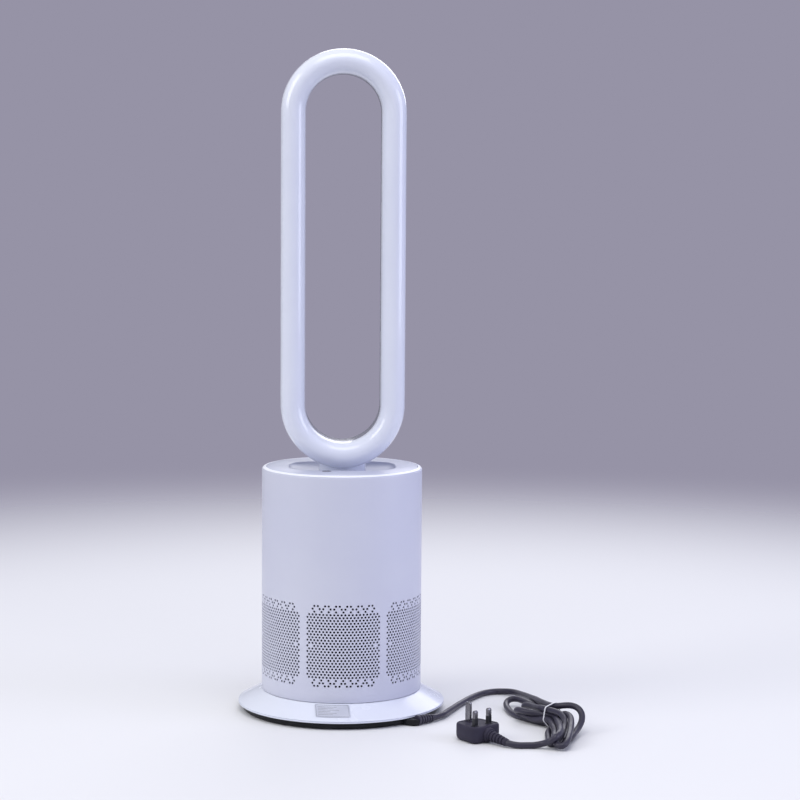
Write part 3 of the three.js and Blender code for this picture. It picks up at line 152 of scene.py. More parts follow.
def painted_highlight_above(m, z0, z1, colour):
    # painted highlight: the colour goes over to a paler one above a height, standing in for the light that falls on a
    # rounded top edge
    nt = m.node_tree; N, L = nt.nodes.new, nt.links.new
    p = next(n for n in nt.nodes if n.type == "BSDF_PRINCIPLED"); was = p.inputs["Base Color"].links[0].from_socket
    tc, sep, mr, mx = N("ShaderNodeTexCoord"), N("ShaderNodeSeparateXYZ"), N("ShaderNodeMapRange"), N("ShaderNodeMix")
    mx.data_type = "RGBA"; mx.inputs[7].default_value = (*colour, 1)
    mr.inputs["From Min"].default_value, mr.inputs["From Max"].default_value = z0 * MM, z1 * MM
    L(tc.outputs["Object"], sep.inputs[0]); L(sep.outputs["Z"], mr.inputs["Value"]); L(mr.outputs["Result"], mx.inputs["Factor"])
    L(was, mx.inputs[6]); L(mx.outputs[2], p.inputs["Base Color"])
# painted highlight: the drum's top roundover turns paler, standing in for the light that falls on it
painted_highlight_above(WHITE_DRUM, 298.35, 298.8, (0.90, 0.915, 0.98))

# ------------------------------------------------------------------ mesh helpers
def make(name, verts, faces, mat, body, nodes=(), slot=None, sharp=32.0, weld=0.0):
    me = bpy.data.meshes.new(name)
    me.from_pydata([tuple(float(c) * MM for c in v) for v in verts], [], [tuple(int(i) for i in f) for f in faces])
    me.validate()
    bm = bmesh.new(); bm.from_mesh(me)
    if weld > 0:
        bmesh.ops.remove_doubles(bm, verts=bm.verts, dist=weld * MM)
    bmesh.ops.dissolve_degenerate(bm, edges=bm.edges, dist=1e-7)
    bmesh.ops.recalc_face_normals(bm, faces=bm.faces)
    bm.to_mesh(me); bm.free()
    me.shade_smooth()
    me.set_sharp_from_angle(angle=math.radians(sharp))
    o = bpy.data.objects.new(name, me)
    scene.collection.objects.link(o)
    me.materials.append(mat)
    if body:
        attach(o, body)
    if nodes:
        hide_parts(*nodes)
    return o

def corner(points, radii, n=5, closed=True):
    # rounds the corners of a line of [r, z] points
    pts = [np.array(p, float) for p in points]
    out = []
    m = len(pts)
    for i, p in enumerate(pts):
        r = radii[i] if isinstance(radii, (list, tuple)) else radii
        if (not closed and i in (0, m - 1)) or r <= 0:
            out.append(p); continue
        a, b = pts[i - 1], pts[(i + 1) % m]
        u, v = unit(a - p), unit(b - p)
        ang = math.acos(max(-1, min(1, float(u @ v))))
        if ang > math.pi - 0.02:
            out.append(p); continue
        t = min(r / math.tan(ang / 2), 0.48 * np.linalg.norm(a - p), 0.48 * np.linalg.norm(b - p))
        rr = t * math.tan(ang / 2)
        c = p + unit(u + v) * (rr / math.sin(ang / 2))
        s, e = p + u * t - c, p + v * t - c
        tot = math.pi - ang
        k = max(2, int(n * tot / (math.pi / 2)) + 1)
        for j in range(k + 1):
            w = j / k
            q = (math.sin((1 - w) * tot) * s + math.sin(w * tot) * e) / math.sin(tot)
            out.append(c + q)
    return [tuple(q) for q in out]

def revolve(profile, seg=256, closed=True):
    # profile of [r, z]; returns verts and faces
    V, F = [], []
    n = len(profile)
    ring = []
    for r, z in profile:
        if r < 1e-6:
            ring.append([len(V)] * seg); V.append((0, 0, z))
        else:
            ring.append(list(range(len(V), len(V) + seg)))
            for i in range(seg):
                a = 2 * math.pi * i / seg
                V.append((r * math.cos(a), r * math.sin(a), z))
    for k in range(n if closed else n - 1):
        a, b = ring[k], ring[(k + 1) % n]
        if a[0] == a[1] and b[0] == b[1]:
            continue
        for i in range(seg):
            j = (i + 1) % seg
            f = [a[i], a[j], b[j], b[i]]
            g = []
            for q in f:
                if q not in g:
                    g.append(q)
            if len(g) > 2:
                F.append(g)
    return V, F

def loft(rings, close_ends=False, wrap=True, loop=False):
    # rings of equally many points; wrap closes each ring, loop closes the last ring to the first
    V = [tuple(p) for r in rings for p in r]
    n, m = len(rings[0]), len(rings)
    F = []
    for j in range(m if loop else m - 1):
        for i in range(n if wrap else n - 1):
            a, b = j * n + i, j * n + (i + 1) % n
            c, d = ((j + 1) % m) * n + i, ((j + 1) % m) * n + (i + 1) % n
            F.append((a, b, d, c))
    if close_ends:
        F.append(tuple(range(n - 1, -1, -1)))
        F.append(tuple(range((m - 1) * n, m * n)))
    return V, F

def joined(parts):
    V, F = [], []
    for v, f in parts:
        k = len(V)
        V += list(v); F += [tuple(i + k for i in q) for q in f]
    return V, F

def spline(points, step=None, n=None, closed=False):
    P = np.array(points, float)
    if closed:
        P = np.vstack([P[-1:], P, P[:2]])
    else:
        P = np.vstack([2 * P[0] - P[1], P, 2 * P[-1] - P[-2]])
    out = []
    for i in range(1, len(P) - 2):
        p0, p1, p2, p3 = P[i - 1:i + 3]
        for t in np.linspace(0, 1, 12, endpoint=False):
            out.append(0.5 * (2 * p1 + (p2 - p0) * t + (2 * p0 - 5 * p1 + 4 * p2 - p3) * t ** 2 + (3 * p1 - p0 - 3 * p2 + p3) * t ** 3))
    if not closed:
        out.append(P[-2])
    out = np.array(out)
    if closed:
        out = np.vstack([out, out[:1]])
    s = np.concatenate([[0], np.cumsum(np.linalg.norm(np.diff(out, axis=0), axis=1))])
    k = n if n else max(2, int(round(s[-1] / step)))
    a = np.linspace(0, s[-1], k + 1)
    q = np.stack([np.interp(a, s, out[:, j]) for j in range(out.shape[1])], 1)
    return q[:-1] if closed else q

def frames(path):
    # a smooth pair of side vectors along a line
    P = np.asarray(path, float)
    T = np.gradient(P, axis=0)
    T /= np.linalg.norm(T, axis=1, keepdims=True)
    u = np.cross(T[0], [0, 0, 1.0])
    if np.linalg.norm(u) < 1e-3:
        u = np.cross(T[0], [1.0, 0, 0])
    u = unit(u)
    U, W = [], []
    for t in T:
        u = unit(u - (u @ t) * t)
        U.append(u); W.append(np.cross(t, u))
    return T, np.array(U), np.array(W)

def tube(path, radius, sides=20, ends=True):
    P = np.asarray(path, float)
    T, U, W = frames(P)
    R = np.full(len(P), radius, float) if np.isscalar(radius) else np.asarray(radius, float)
    ang = [2 * math.pi * i / sides for i in range(sides)]
    rings = [[P[k] + R[k] * (math.cos(a) * U[k] + math.sin(a) * W[k]) for a in ang] for k in range(len(P))]
    return loft(rings, close_ends=ends)

def along(profile, start, direction, seg=48):
    # a turned piece [r, l] laid along a direction
    d = unit(direction)
    u = unit(np.cross(d, [0, 0, 1.0])); w = np.cross(d, u)
    V, F = revolve(profile, seg, closed=False)
    return [tuple(np.array(start) + v[2] * d + v[0] * u + v[1] * w) for v in V], F

def oval(a, b, n, t):
    return 1 / ((abs(math.cos(t)) / a) ** n + (abs(math.sin(t)) / b) ** n) ** (1 / n)

def cut_away(obj, verts, faces):
    # takes a closed mesh out of a piece
    me = bpy.data.meshes.new("cutter")
    me.from_pydata([tuple(float(c) * MM for c in v) for v in verts], [], [tuple(f) for f in faces])
    bm = bmesh.new(); bm.from_mesh(me); bmesh.ops.recalc_face_normals(bm, faces=bm.faces); bm.to_mesh(me); bm.free()
    c = bpy.data.objects.new("cutter", me); scene.collection.objects.link(c)
    mod = obj.modifiers.new("cut", "BOOLEAN"); mod.operation = "DIFFERENCE"; mod.solver = "EXACT"; mod.object = c
    bpy.context.view_layer.update()
    dg = bpy.context.evaluated_depsgraph_get()
    new = bpy.data.meshes.new_from_object(obj.evaluated_get(dg))
    obj.modifiers.clear()
    old = obj.data
    obj.data = new
    new.shade_smooth()
    new.set_sharp_from_angle(angle=math.radians(32))
    bpy.data.objects.remove(c); bpy.data.meshes.remove(me); bpy.data.meshes.remove(old)
    return obj

# ------------------------------------------------------------------ mains lead
ROUTE = [
    (109.8, -81.9, 5.4), (114.5, -78.2, 5.2), (118.3, -73.5, 5.2), (121.3, -68.3, 5.2), (123.8, -62.9, 5.2), (126, -57.3, 5.1), (128.2, -51.7, 5), (130.3, -46.1, 4.8),
    (132.4, -40.5, 4.6), (134.6, -34.9, 4.5), (136.8, -29.3, 4.3), (139, -23.8, 4.2), (141.2, -18.2, 4.1), (143.5, -12.7, 3.9), (145.8, -7.1, 3.9), (148.3, -1.6, 3.8),
    (150.8, 3.8, 3.8), (153.3, 9.2, 3.8), (156, 14.6, 3.8), (158.7, 20, 3.8), (161.4, 25.3, 3.8), (164.3, 30.6, 3.8), (167.2, 35.8, 3.8), (170.3, 40.9, 3.8),
    (173.7, 45.9, 3.8), (177.2, 50.7, 3.8), (181.2, 55.2, 3.8), (185.7, 59.2, 3.8), (190.8, 62.3, 3.8), (196.4, 64.3, 3.8), (202.4, 64.8, 3.9), (208.3, 63.7, 4.1),
    (213.7, 61.1, 4.5), (218, 57, 4.9), (221, 51.9, 5.3), (223, 46.2, 5.9), (224.2, 40.4, 6.6), (225.3, 34.6, 7.4), (226.2, 28.7, 8.2), (227.2, 22.8, 9),
    (228.2, 17, 9.9), (229.2, 11.1, 10.7), (230.2, 5.3, 11.5), (231.2, -0.6, 12.2), (232.2, -6.5, 13), (233.1, -12.3, 13.7), (234.1, -18.2, 14.5), (235, -24.1, 15.3),
    (235.9, -30, 16.2), (236.8, -35.8, 17), (237.6, -41.7, 17.9), (238.4, -47.6, 18.5), (239.2, -53.5, 19.1), (240.1, -59.4, 19.7), (241.1, -65.3, 20.3), (242.1, -71.2, 20.9),
    (243.2, -77, 21.6), (244.3, -82.9, 22.2), (245.5, -88.8, 22.8), (246.6, -94.6, 23.4), (248, -100.4, 24.1), (249.8, -106.1, 24.8), (252.2, -111.5, 25.7), (255.6, -116.3, 26.8),
    (260.1, -120, 28.2), (265.3, -122.8, 29.5), (270.6, -125.4, 30), (275.8, -128.3, 29.3), (280, -131.9, 26.9), (282.3, -136.2, 23.4), (282.6, -140.7, 19.5), (281.5, -145.3, 15.9),
    (279.4, -150.1, 13), (276.9, -155, 10.6), (274.3, -160.2, 9), (271.9, -165.5, 7.8), (269.7, -171.1, 7.1), (267.8, -176.7, 6.7), (265.8, -182.4, 6.3), (263.6, -187.9, 5.8),
    (260.3, -192.9, 4.9), (255.2, -195.7, 4), (249.7, -193.7, 3.7), (246.8, -188.6, 3.8), (245.9, -182.6, 3.9), (246, -176.6, 3.9), (246.4, -170.7, 3.8), (246.8, -164.7, 3.8),
    (247.5, -158.7, 4), (248.5, -152.8, 4.4), (250.1, -147.1, 5), (252.1, -141.4, 5.5), (254.1, -135.8, 5.6), (255.9, -130.1, 5.5), (256.9, -124.2, 5.4), (256.8, -118.2, 5.3),
    (255.4, -112.4, 5.1), (253.1, -106.8, 4.7), (250.4, -101.5, 4.3), (247.7, -96.1, 4.1), (245.1, -90.8, 3.9), (242.6, -85.3, 3.9), (240.4, -79.7, 3.8), (238.3, -74.1, 3.8),
    (236.5, -68.4, 3.8), (234.5, -62.7, 3.8), (232.3, -57.1, 3.8), (229.4, -51.9, 4.2), (225.5, -47.7, 5.9), (221.8, -47.7, 10), (221.9, -52.5, 13.4), (223.8, -58, 15.1),
    (226.1, -63.5, 15.9), (228.3, -69, 16.4), (230.4, -74.6, 16.8), (232.1, -80.3, 17.4), (233.6, -86.1, 18.2), (235, -91.8, 19.3), (236.5, -97.5, 20.5), (238.2, -103.1, 21.7),
    (240.3, -108.7, 22.4), (242.8, -114.1, 22.7), (245.8, -119.3, 22.8), (249, -124.4, 23), (252.4, -129.3, 23.1), (255.6, -134.4, 22.8), (258.1, -139.7, 21.8), (259.7, -145.3, 20.1),
    (260.3, -150.9, 18.1), (260.1, -156.6, 16.1), (259.3, -162.2, 14.4), (258.1, -168, 13), (256.8, -173.7, 12.1), (255.4, -179.5, 11.6), (254.1, -185.4, 11.5), (252.6, -191.2, 11.5),
    (251, -197, 10.9), (249.2, -202.4, 9.2), (246.9, -207.3, 6.7), (243.2, -211.1, 4.1), (238, -209.3, 3.7), (236.2, -203.6, 3.8), (236.2, -197.6, 3.8), (236.9, -191.7, 3.8),
    (237.6, -185.7, 3.8), (238.2, -179.7, 3.8), (238.6, -173.7, 3.8), (238.9, -167.8, 3.8), (239.4, -161.8, 3.8), (240.3, -155.8, 3.8), (241.5, -150, 3.8), (243.2, -144.2, 3.8),
    (245.3, -138.6, 3.9), (247.3, -133, 4.1), (249, -127.2, 4.4), (249.4, -121.2, 4.8), (248, -115.4, 5), (245, -110.3, 4.8), (241.1, -105.7, 4.3), (237.1, -101.3, 4),
    (233.1, -96.8, 3.8), (229.4, -92.2, 3.8), (225.7, -87.4, 3.8), (222.1, -82.6, 3.8), (218.4, -77.9, 3.8), (215.1, -72.9, 3.8), (212.2, -67.6, 3.8), (209.8, -62.1, 3.8),
    (207.9, -56.4, 3.8), (206.6, -50.6, 3.8), (205.5, -44.7, 3.8), (204.8, -38.7, 3.8), (204.2, -32.8, 4), (203.7, -26.8, 4.2), (203.4, -20.8, 4.6), (203.4, -14.9, 5.3),
    (204.2, -9, 6.4), (206.7, -4, 8.3), (212, -2.6, 10), (216.9, -5.9, 10.6), (220.5, -10.7, 10.6), (223.3, -16, 10.6), (225.8, -21.4, 10.7), (228.1, -27, 10.8),
    (230.4, -32.5, 10.9), (232.6, -38.1, 11), (234.9, -43.6, 11.1), (237, -49.2, 11.2), (239.2, -54.8, 11.3), (241.2, -60.5, 11.3), (243.1, -66.2, 11.2), (244.9, -71.9, 11),
    (246.7, -77.6, 10.9), (248.4, -83.3, 10.7), (250.2, -89.1, 10.7), (251.9, -94.8, 10.8), (253.7, -100.5, 11.3), (255.4, -106.2, 12), (256.9, -111.9, 13.3), (258.3, -117.4, 15.3),
    (259.8, -122.6, 17.8), (261.8, -127.8, 20), (264.1, -133.2, 21.3), (266.1, -138.8, 21.6), (267.4, -144.6, 21), (267.8, -150.5, 19.9), (267.5, -156.4, 18.6), (266.8, -162.2, 17.4),
    (266, -168, 16.3), (265.1, -173.9, 15.4), (264.1, -179.7, 14.5), (263.1, -185.6, 13.8), (261.9, -191.4, 13), (260.7, -197.3, 12.3), (259.5, -203.1, 11.6), (258.2, -208.9, 10.8),
    (256.8, -214.7, 10), (255.2, -220.3, 8.8), (252.7, -225.5, 7.2), (248.2, -228.3, 5.1), (243.9, -224.4, 5.6), (242.3, -219.3, 8.1), (241.7, -214, 10.9), (242, -208.3, 12.7),
    (242.8, -202.4, 13.3), (243.7, -196.5, 13.4), (244.5, -190.5, 13.1), (245.1, -184.6, 12.7), (245.6, -178.6, 12.4), (246, -172.6, 12.1), (246.2, -166.7, 11.8), (246.2, -160.7, 11.7),
    (246.3, -154.7, 11.6), (246.3, -148.7, 11.6), (246.4, -142.7, 11.5), (246.4, -136.7, 11.7), (246.2, -130.7, 11.9), (245.5, -124.7, 12.1), (243.5, -119.1, 11.8), (240.2, -114.3, 10.6),
    (236.1, -110.2, 9), (232, -106, 7.8), (228.2, -101.3, 7.7), (224.9, -96.4, 8.3), (221.9, -91.2, 9.1), (218.7, -86.2, 9.5), (214.9, -81.5, 9.9), (210.1, -78.7, 11.6),
    (209.1, -82.9, 14.9), (211.8, -88.2, 16), (215.4, -93, 16.2), (219.7, -97.1, 15.9), (224.8, -100.3, 15.4), (230.3, -102.6, 15.1), (235.9, -104.7, 14.7), (241.2, -107.4, 14.8),
    (245.9, -111, 15.5), (249.4, -115.8, 16), (251.4, -121.5, 16), (252.4, -127.4, 15.7), (252.6, -133.4, 15.6), (252.5, -139.4, 15.8), (252.3, -145.4, 16), (252.1, -151.4, 16.3),
    (252, -157.3, 16.7), (251.9, -163.3, 17.1), (251.8, -169.3, 17.5), (251.6, -175.3, 17.9), (251.4, -181.3, 18.4), (251, -187.2, 18.6), (250.5, -193.2, 18.7), (249.8, -199.2, 18.6),
    (249, -205.1, 18.3), (247.8, -211, 17.8), (246.1, -216.7, 17.1), (243.3, -221.7, 15.7), (238.6, -223.8, 12.9), (234.4, -221.1, 9.7), (230.9, -216.9, 7.2), (226.8, -212.9, 5.4),
    (221.6, -210.2, 4.2), (215.7, -209.4, 3.8), (209.7, -209.6, 3.8), (203.8, -210.7, 3.9), (198.1, -212.7, 4.2), (192.2, -213.2, 4.7), (187.9, -209.2, 5.4),
]
ENTRY = spin([90.4, -98.0]); ENTRY_DIR = spin([0.754, 0.657])
RELIEF_DIR = unit([ENTRY_DIR[0], ENTRY_DIR[1], -0.035])
RELIEF_AT = np.array([ENTRY[0] + 0.3 * ENTRY_DIR[0], ENTRY[1] + 0.3 * ENTRY_DIR[1], 6.35]); RELIEF_L = 27.0
PLUG = spin([163.9, -173.6]); PLUG_A = 41.4 * math.pi / 180 + YAW
PA, PB = np.array([math.cos(PLUG_A), math.sin(PLUG_A)]), np.array([-math.sin(PLUG_A), math.cos(PLUG_A)])
def on_plug(a, b, z=0.0):
    q = PLUG[:2] + a * PA + b * PB
    return np.array([q[0], q[1], z])
TAIL_DIR = unit([-PB[0], -PB[1], -0.13]); TAIL_AT = on_plug(0, -13.2, 9.2); TAIL_L = 29.0

lead_in = [RELIEF_AT + (RELIEF_L - 5) * RELIEF_DIR, RELIEF_AT + (RELIEF_L + 0.6) * RELIEF_DIR, RELIEF_AT + (RELIEF_L + 5) * RELIEF_DIR]
tail_in = [TAIL_AT + (TAIL_L + 5) * TAIL_DIR, TAIL_AT + (TAIL_L + 0.6) * TAIL_DIR, TAIL_AT + (TAIL_L - 5) * TAIL_DIR]
line = spline([*lead_in, *[np.array(p, float) for p in ROUTE[3:-3]], *tail_in], step=2.4)
# ease the tightest turns; the ends stay in their sleeves
for pas in range(60):
    ease = np.full(len(line), 0.5 if pas < 7 else 0.0)
    ease[:10] = 0.5; ease[:4] = 0; ease[-5:] = 0
    line[1:-1] += ease[1:-1, None] * ((line[:-2] + line[2:]) / 2 - line[1:-1])
# the tail leaves its sleeve along the sleeve and bends round from there
k0 = len(line) - 24
h0, h1 = line[k0], TAIL_AT + (TAIL_L - 1.5) * TAIL_DIR
span = float(np.linalg.norm(h1 - h0)); t0, t1 = unit(line[k0] - line[k0 - 1]) * span * 1.05, -TAIL_DIR * span * 1.05
turn = [(2 * t ** 3 - 3 * t * t + 1) * h0 + (t ** 3 - 2 * t * t + t) * t0 + (3 * t * t - 2 * t ** 3) * h1 + (t ** 3 - t * t) * t1 for t in np.linspace(0, 1, 25)]
line = np.vstack([line[:k0], turn, [TAIL_AT + (TAIL_L - 5) * TAIL_DIR]])
line[:, 2] = np.maximum(line[:, 2], 3.75)
cord = make("mains_lead", *tube(line, 3.74, 22), CORD, "base", nodes=("cord_lead", "cord_hank", "cord_tail"), slot="cord_grey", sharp=60)

# ribbed sleeve at the base, tapering towards the lead
def ribbed(r0, r1, length, ribs, first):
    prof = [(0.0, 0.0), (r0 - 0.5, 0.0), (r0, 0.5), (r0, first)]
    pitch = (length - first - 2.0) / ribs
    for i in range(ribs):
        l0 = first + i * pitch
        ra = r0 + (r1 - r0) * (l0 - first) / (length - first); rb = ra - 1.5
        rn = r0 + (r1 - r0) * (l0 + pitch - first) / (length - first)
        prof += [(ra, l0), (rb + 0.15, l0 + 0.25), (rb, l0 + 0.45), (rb, l0 + 0.3 * pitch), (rb + 0.15, l0 + 0.36 * pitch), (ra - 0.25, l0 + 0.44 * pitch), (ra - 0.05, l0 + 0.56 * pitch), (rn, l0 + 0.96 * pitch)]
    prof += [(r1, length - 0.8), (r1 - 0.25, length - 0.15), (r1 - 0.6, length), (3.6, length), (0.0, length - 2.0)]
    out = [prof[0]]
    for q in prof[1:]:
        if math.hypot(q[0] - out[-1][0], q[1] - out[-1][1]) > 0.02:
            out.append(q)
    return out

relief = make("entry_sleeve", *along(ribbed(6.0, 4.35, RELIEF_L, 5, 3.6), RELIEF_AT, RELIEF_DIR, 48), CORD, "base", nodes=("cord_strain_relief",), slot="cord_grey", sharp=40)
tail_relief = make("plug_sleeve", *along(ribbed(6.55, 4.4, TAIL_L, 5, 3.8), TAIL_AT, TAIL_DIR, 48), PLUG_M, "base", nodes=("plug_strain_relief",), slot="cord_grey", sharp=40)

# cable gland: the block under the flange that turns the lead along the rim
def at_rim(r, deg):
    return spin([r * math.sin(math.radians(deg)), -r * math.cos(math.radians(deg))])[:2]
gl = [at_rim(139.3, 42.7), at_rim(127.3, 42.7), at_rim(118, 42.4), at_rim(108, 42.2), at_rim(108, 36.4), at_rim(118, 36.9), at_rim(127, 37.9), at_rim(135.6, 39.8)]
gl = corner(gl, [1.2, 1.2, 1, 2, 2, 1, 3, 1.6], n=5)
gc = np.mean(np.array(gl), axis=0)
def inset(outline, d):
    P = np.array(outline, float); n = len(P); out = []
    area = 0.5 * sum(P[i][0] * P[(i + 1) % n][1] - P[(i + 1) % n][0] * P[i][1] for i in range(n)); s = 1 if area > 0 else -1
    for i in range(n):
        t = unit(P[(i + 1) % n] - P[i - 1]); out.append(P[i] + s * d * np.array([-t[1], t[0]]))
    return out
rings = []
for z, d in ((0.6, 1.2), (0.85, 0.5), (1.4, 0.1), (2.0, 0), (6.8, 0), (7.5, 0.15), (7.95, 0.5), (8.2, 1.1)):
    rings.append([(q[0], q[1], z) for q in inset(gl, d)])
gland = make("cable_gland", *loft(rings, close_ends=True), BLACK, "base", nodes=("cord_gland",), slot="black_plastic", sharp=35)

# plug: moulded body lying with its pins up
def plug_outline(d):
    o = []
    for cx, cy_, r, a0, a1 in ((-13.0, -2.0, 9.0, 180, 270), (13.5, -2.0, 9.2, 270, 360), (7.6, 17.4, 13.2, 15, 75), (-6.4, 17.4, 13.0, 105, 165)):
        for i in range(11):
            a = math.radians(a0 + (a1 - a0) * i / 10)
            o.append((cx + (r - d) * math.cos(a), cy_ + (r - d) * math.sin(a)))
    return o
rings = []
for z, d in ((0.1, 5.6), (0.2, 4.4), (0.6, 3.1), (1.3, 2.0), (2.4, 1.1), (4.0, 0.45), (6.0, 0.1), (9, 0.0), (14, 0.0), (17.0, 0.08), (18.2, 0.25), (19.05, 0.65), (19.6, 1.2), (19.9, 1.9), (19.95, 2.6), (19.75, 2.85), (19.35, 3.0), (19.3, 3.4)):
    rings.append([tuple(on_plug(a, b, z)) for a, b in plug_outline(d)])
V, F = loft(rings)
k = len(V); V.append(tuple(on_plug(0, 8, 0.1))); V.append(tuple(on_plug(0, 8, 19.3)))
n_o = len(rings[0])
F += [(k, (i + 1) % n_o, i) for i in range(n_o)] + [(k + 1, k - n_o + i, k - n_o + (i + 1) % n_o) for i in range(n_o)]
# the socket from which the sleeve leaves the body
sock = [tuple(v) for v in along([(0, -5.0), (8.4, -5.0), (8.6, -1.0), (8.3, 0.6), (7.6, 1.3), (6.9, 1.5), (0, 1.5)], TAIL_AT, TAIL_DIR, 48)[0]]
sockf = along([(0, -5.0), (8.4, -5.0), (8.6, -1.0), (8.3, 0.6), (7.6, 1.3), (6.9, 1.5), (0, 1.5)], TAIL_AT, TAIL_DIR, 48)[1]
plug = make("plug_moulding", V, F, PLUG_M, "base", nodes=("plug_body",), slot="cord_grey", sharp=38)
plug_socket = make("plug_sleeve_root", sock, sockf, PLUG_M, "base", slot="cord_grey", sharp=38)

def pin(name, node, a, b, w, d, length, sleeve):
    def ring(z, k, grow=0.0):
        out = []
        hw, hd, rc = w / 2 - k + grow, d / 2 - k + grow, max(0.25, 1.1 - 0.5 * k)
        for sx, sy, a0 in ((1, 1, 0), (-1, 1, 90), (-1, -1, 180), (1, -1, 270)):
            for j in range(6):
                t = math.radians(a0 + 18 * j)
                out.append(tuple(on_plug(a + sx * (hw - rc) + rc * math.cos(t), b + sy * (hd - rc) + rc * math.sin(t), z)))
        return out
    z0, z1 = 19.0, 20.3 + length
    rings = [ring(z0, 0)] + [ring(z1 - 2.2, 0), ring(z1 - 1.5, 0.12), ring(z1 - 0.8, 0.42), ring(z1 - 0.3, 0.85), ring(z1, 1.45)]
    o = [make(name, *loft(rings, close_ends=True), PIN, "base", nodes=(node,), slot="pin_metal", sharp=45)]
    if sleeve:
        rings = [ring(z0, 0, 0.16), ring(z0 + sleeve, 0, 0.16), ring(z0 + sleeve + 0.12, 0, 0.04), ring(z0 + sleeve + 0.12, 0, -0.3), ring(z0, 0, -0.3)]
        V, F = loft(rings, loop=True)
        o.append(make(name + "_sleeve", V, F, SLEEVE, "base", slot="black_plastic", sharp=35))
    # raised seat where the pin leaves the body
    rings = [ring(19.2, 0, 1.0), ring(20.05, 0, 0.9), ring(20.2, 0, 0.65), ring(20.2, 0, 0.2)]
    o.append(make(name + "_seat", *loft(rings, close_ends=True), SLEEVE if sleeve else PLUG_M, "base", slot="black_plastic", sharp=35))
    return o
pins = pin("pin_live", "plug_pin_live", -11.1, 0, 6.35, 4.0, 17.4, 9.6) + pin("pin_neutral", "plug_pin_neutral", 11.1, 0, 6.35, 4.0, 17.4, 9.6) + pin("pin_earth", "plug_pin_earth", 0, 22.2, 4.0, 8.0, 22.4, 0)

# wire tie round the bundle, with its twisted end
TIE_AT = spin([253.5, -109.0, 0]); TIE_D = spin([0.42, -0.9075]); TIE_S = np.array([TIE_D[1], -TIE_D[0], 0])
RUNS = [(-1.9, 26.0), (7.6, 22.8), (9.5, 11.6), (3.8, 5.1), (-4.3, 5.1), (-6.0, 13.2)]
q = sorted((w + 4.15 * math.cos(t), max(0.9, z + 4.15 * math.sin(t))) for w, z in RUNS for t in [2 * math.pi * i / 40 for i in range(40)])
def half(l):
    h = []
    for v in l:
        while len(h) > 1 and (h[-1][0] - h[-2][0]) * (v[1] - h[-2][1]) - (h[-1][1] - h[-2][1]) * (v[0] - h[-2][0]) < 1e-4:
            h.pop()
        h.append(v)
    return h[:-1]
hull = half(q) + half(q[::-1])
hull = np.array(hull)
s = np.concatenate([[0], np.cumsum(np.linalg.norm(np.diff(np.vstack([hull, hull[:1]]), axis=0), axis=1))])
a = np.linspace(0, s[-1], 121)[:-1]
hp = np.stack([np.interp(a, s, np.append(hull[:, j], hull[0, j])) for j in range(2)], 1)
nrm = np.stack([np.roll(hp, -2, 0)[:, 1] - np.roll(hp, 2, 0)[:, 1], -(np.roll(hp, -2, 0)[:, 0] - np.roll(hp, 2, 0)[:, 0])], 1)
nrm /= np.linalg.norm(nrm, axis=1, keepdims=True)
sect = [(0.0, -0.95), (0.45, -1.1), (0.75, -0.75), (0.62, -0.3), (0.8, 0.0), (0.62, 0.3), (0.75, 0.75), (0.45, 1.1), (0.0, 0.95)]
rings = []
for h, nn in zip(hp, nrm):
    ring = []
    for o_, l in sect:
        w, z = h + nn * o_
        ring.append(tuple(TIE_AT + TIE_S * w + np.array([0, 0, max(0.16, z)]) + TIE_D * l))
    rings.append(ring)
tie_parts = [loft(rings, loop=True)]
def tie_point(w, z, l):
    return TIE_AT + TIE_S * w + np.array([0, 0, z]) + TIE_D * l
# the twist sits on the side that the bundle turns to the front
base_pt = None
for h, nn in zip(hp, nrm):
    if base_pt is None or abs(h[1] - 8.5) + (0 if h[0] < 0 else 50) < best:
        best = abs(h[1] - 8.5) + (0 if h[0] < 0 else 50); base_pt, base_n = h, nn
for ph in (0, math.pi):
    pts = []
    for i in range(37):
        t = i / 36
        c_ = base_pt + base_n * (1.2 + 1.1 * t)
        pts.append(tie_point(c_[0] + 0.5 * math.cos(ph + 9 * t) * base_n[0], c_[1] + 0.5 * math.sin(ph + 9 * t) - 1.0 * t, 0.5 + 6.0 * t))
    tie_parts.append(tube(pts, 0.45, 8))
tie = make("wire_tie", *joined(tie_parts), TIE, "base", nodes=("cord_tie",), slot="tie_white", sharp=60)

# ------------------------------------------------------------------ base
flange = corner([(126.35, 8.5), (126.8, 8.95), (126.8, 9.6), (126.0, 9.85), (126.0, 10.65), (126.75, 10.9), (126.7, 11.1), (126.3, 11.4), (98.9, 25.7), (98.0, 26.0), (66.5, 26.0), (66.5, 23.4), (97.9, 23.4), (122.9, 10.4), (109.5, 10.4), (109.5, 8.5)],
                [0.2, 0.2, 0.15, 0.15, 0.15, 0.15, 0.1, 0.3, 0.5, 0.3, 0.4, 0.4, 1, 1, 0.4, 0.4], n=6)
make("base_cone", *revolve(flange, 288), WHITE_BASE, "base", nodes=("base_flange",), slot="gloss_white", sharp=30, weld=0.005)
pan = corner([(0, 1.8), (108, 1.8), (112, 0.7), (119.6, 0.7), (121.6, 2.4), (121.6, 8.2), (118.8, 8.2), (118.8, 5.4), (112.0, 4.4), (0, 4.4)], [0, 2, 2, 1.2, 1.0, 0.4, 0.4, 1, 1, 0], n=5)
make("base_tray", *revolve(pan, 256, closed=False), BLACK, "base", nodes=("base_pan",), slot="black_plastic", sharp=30, weld=0.005)
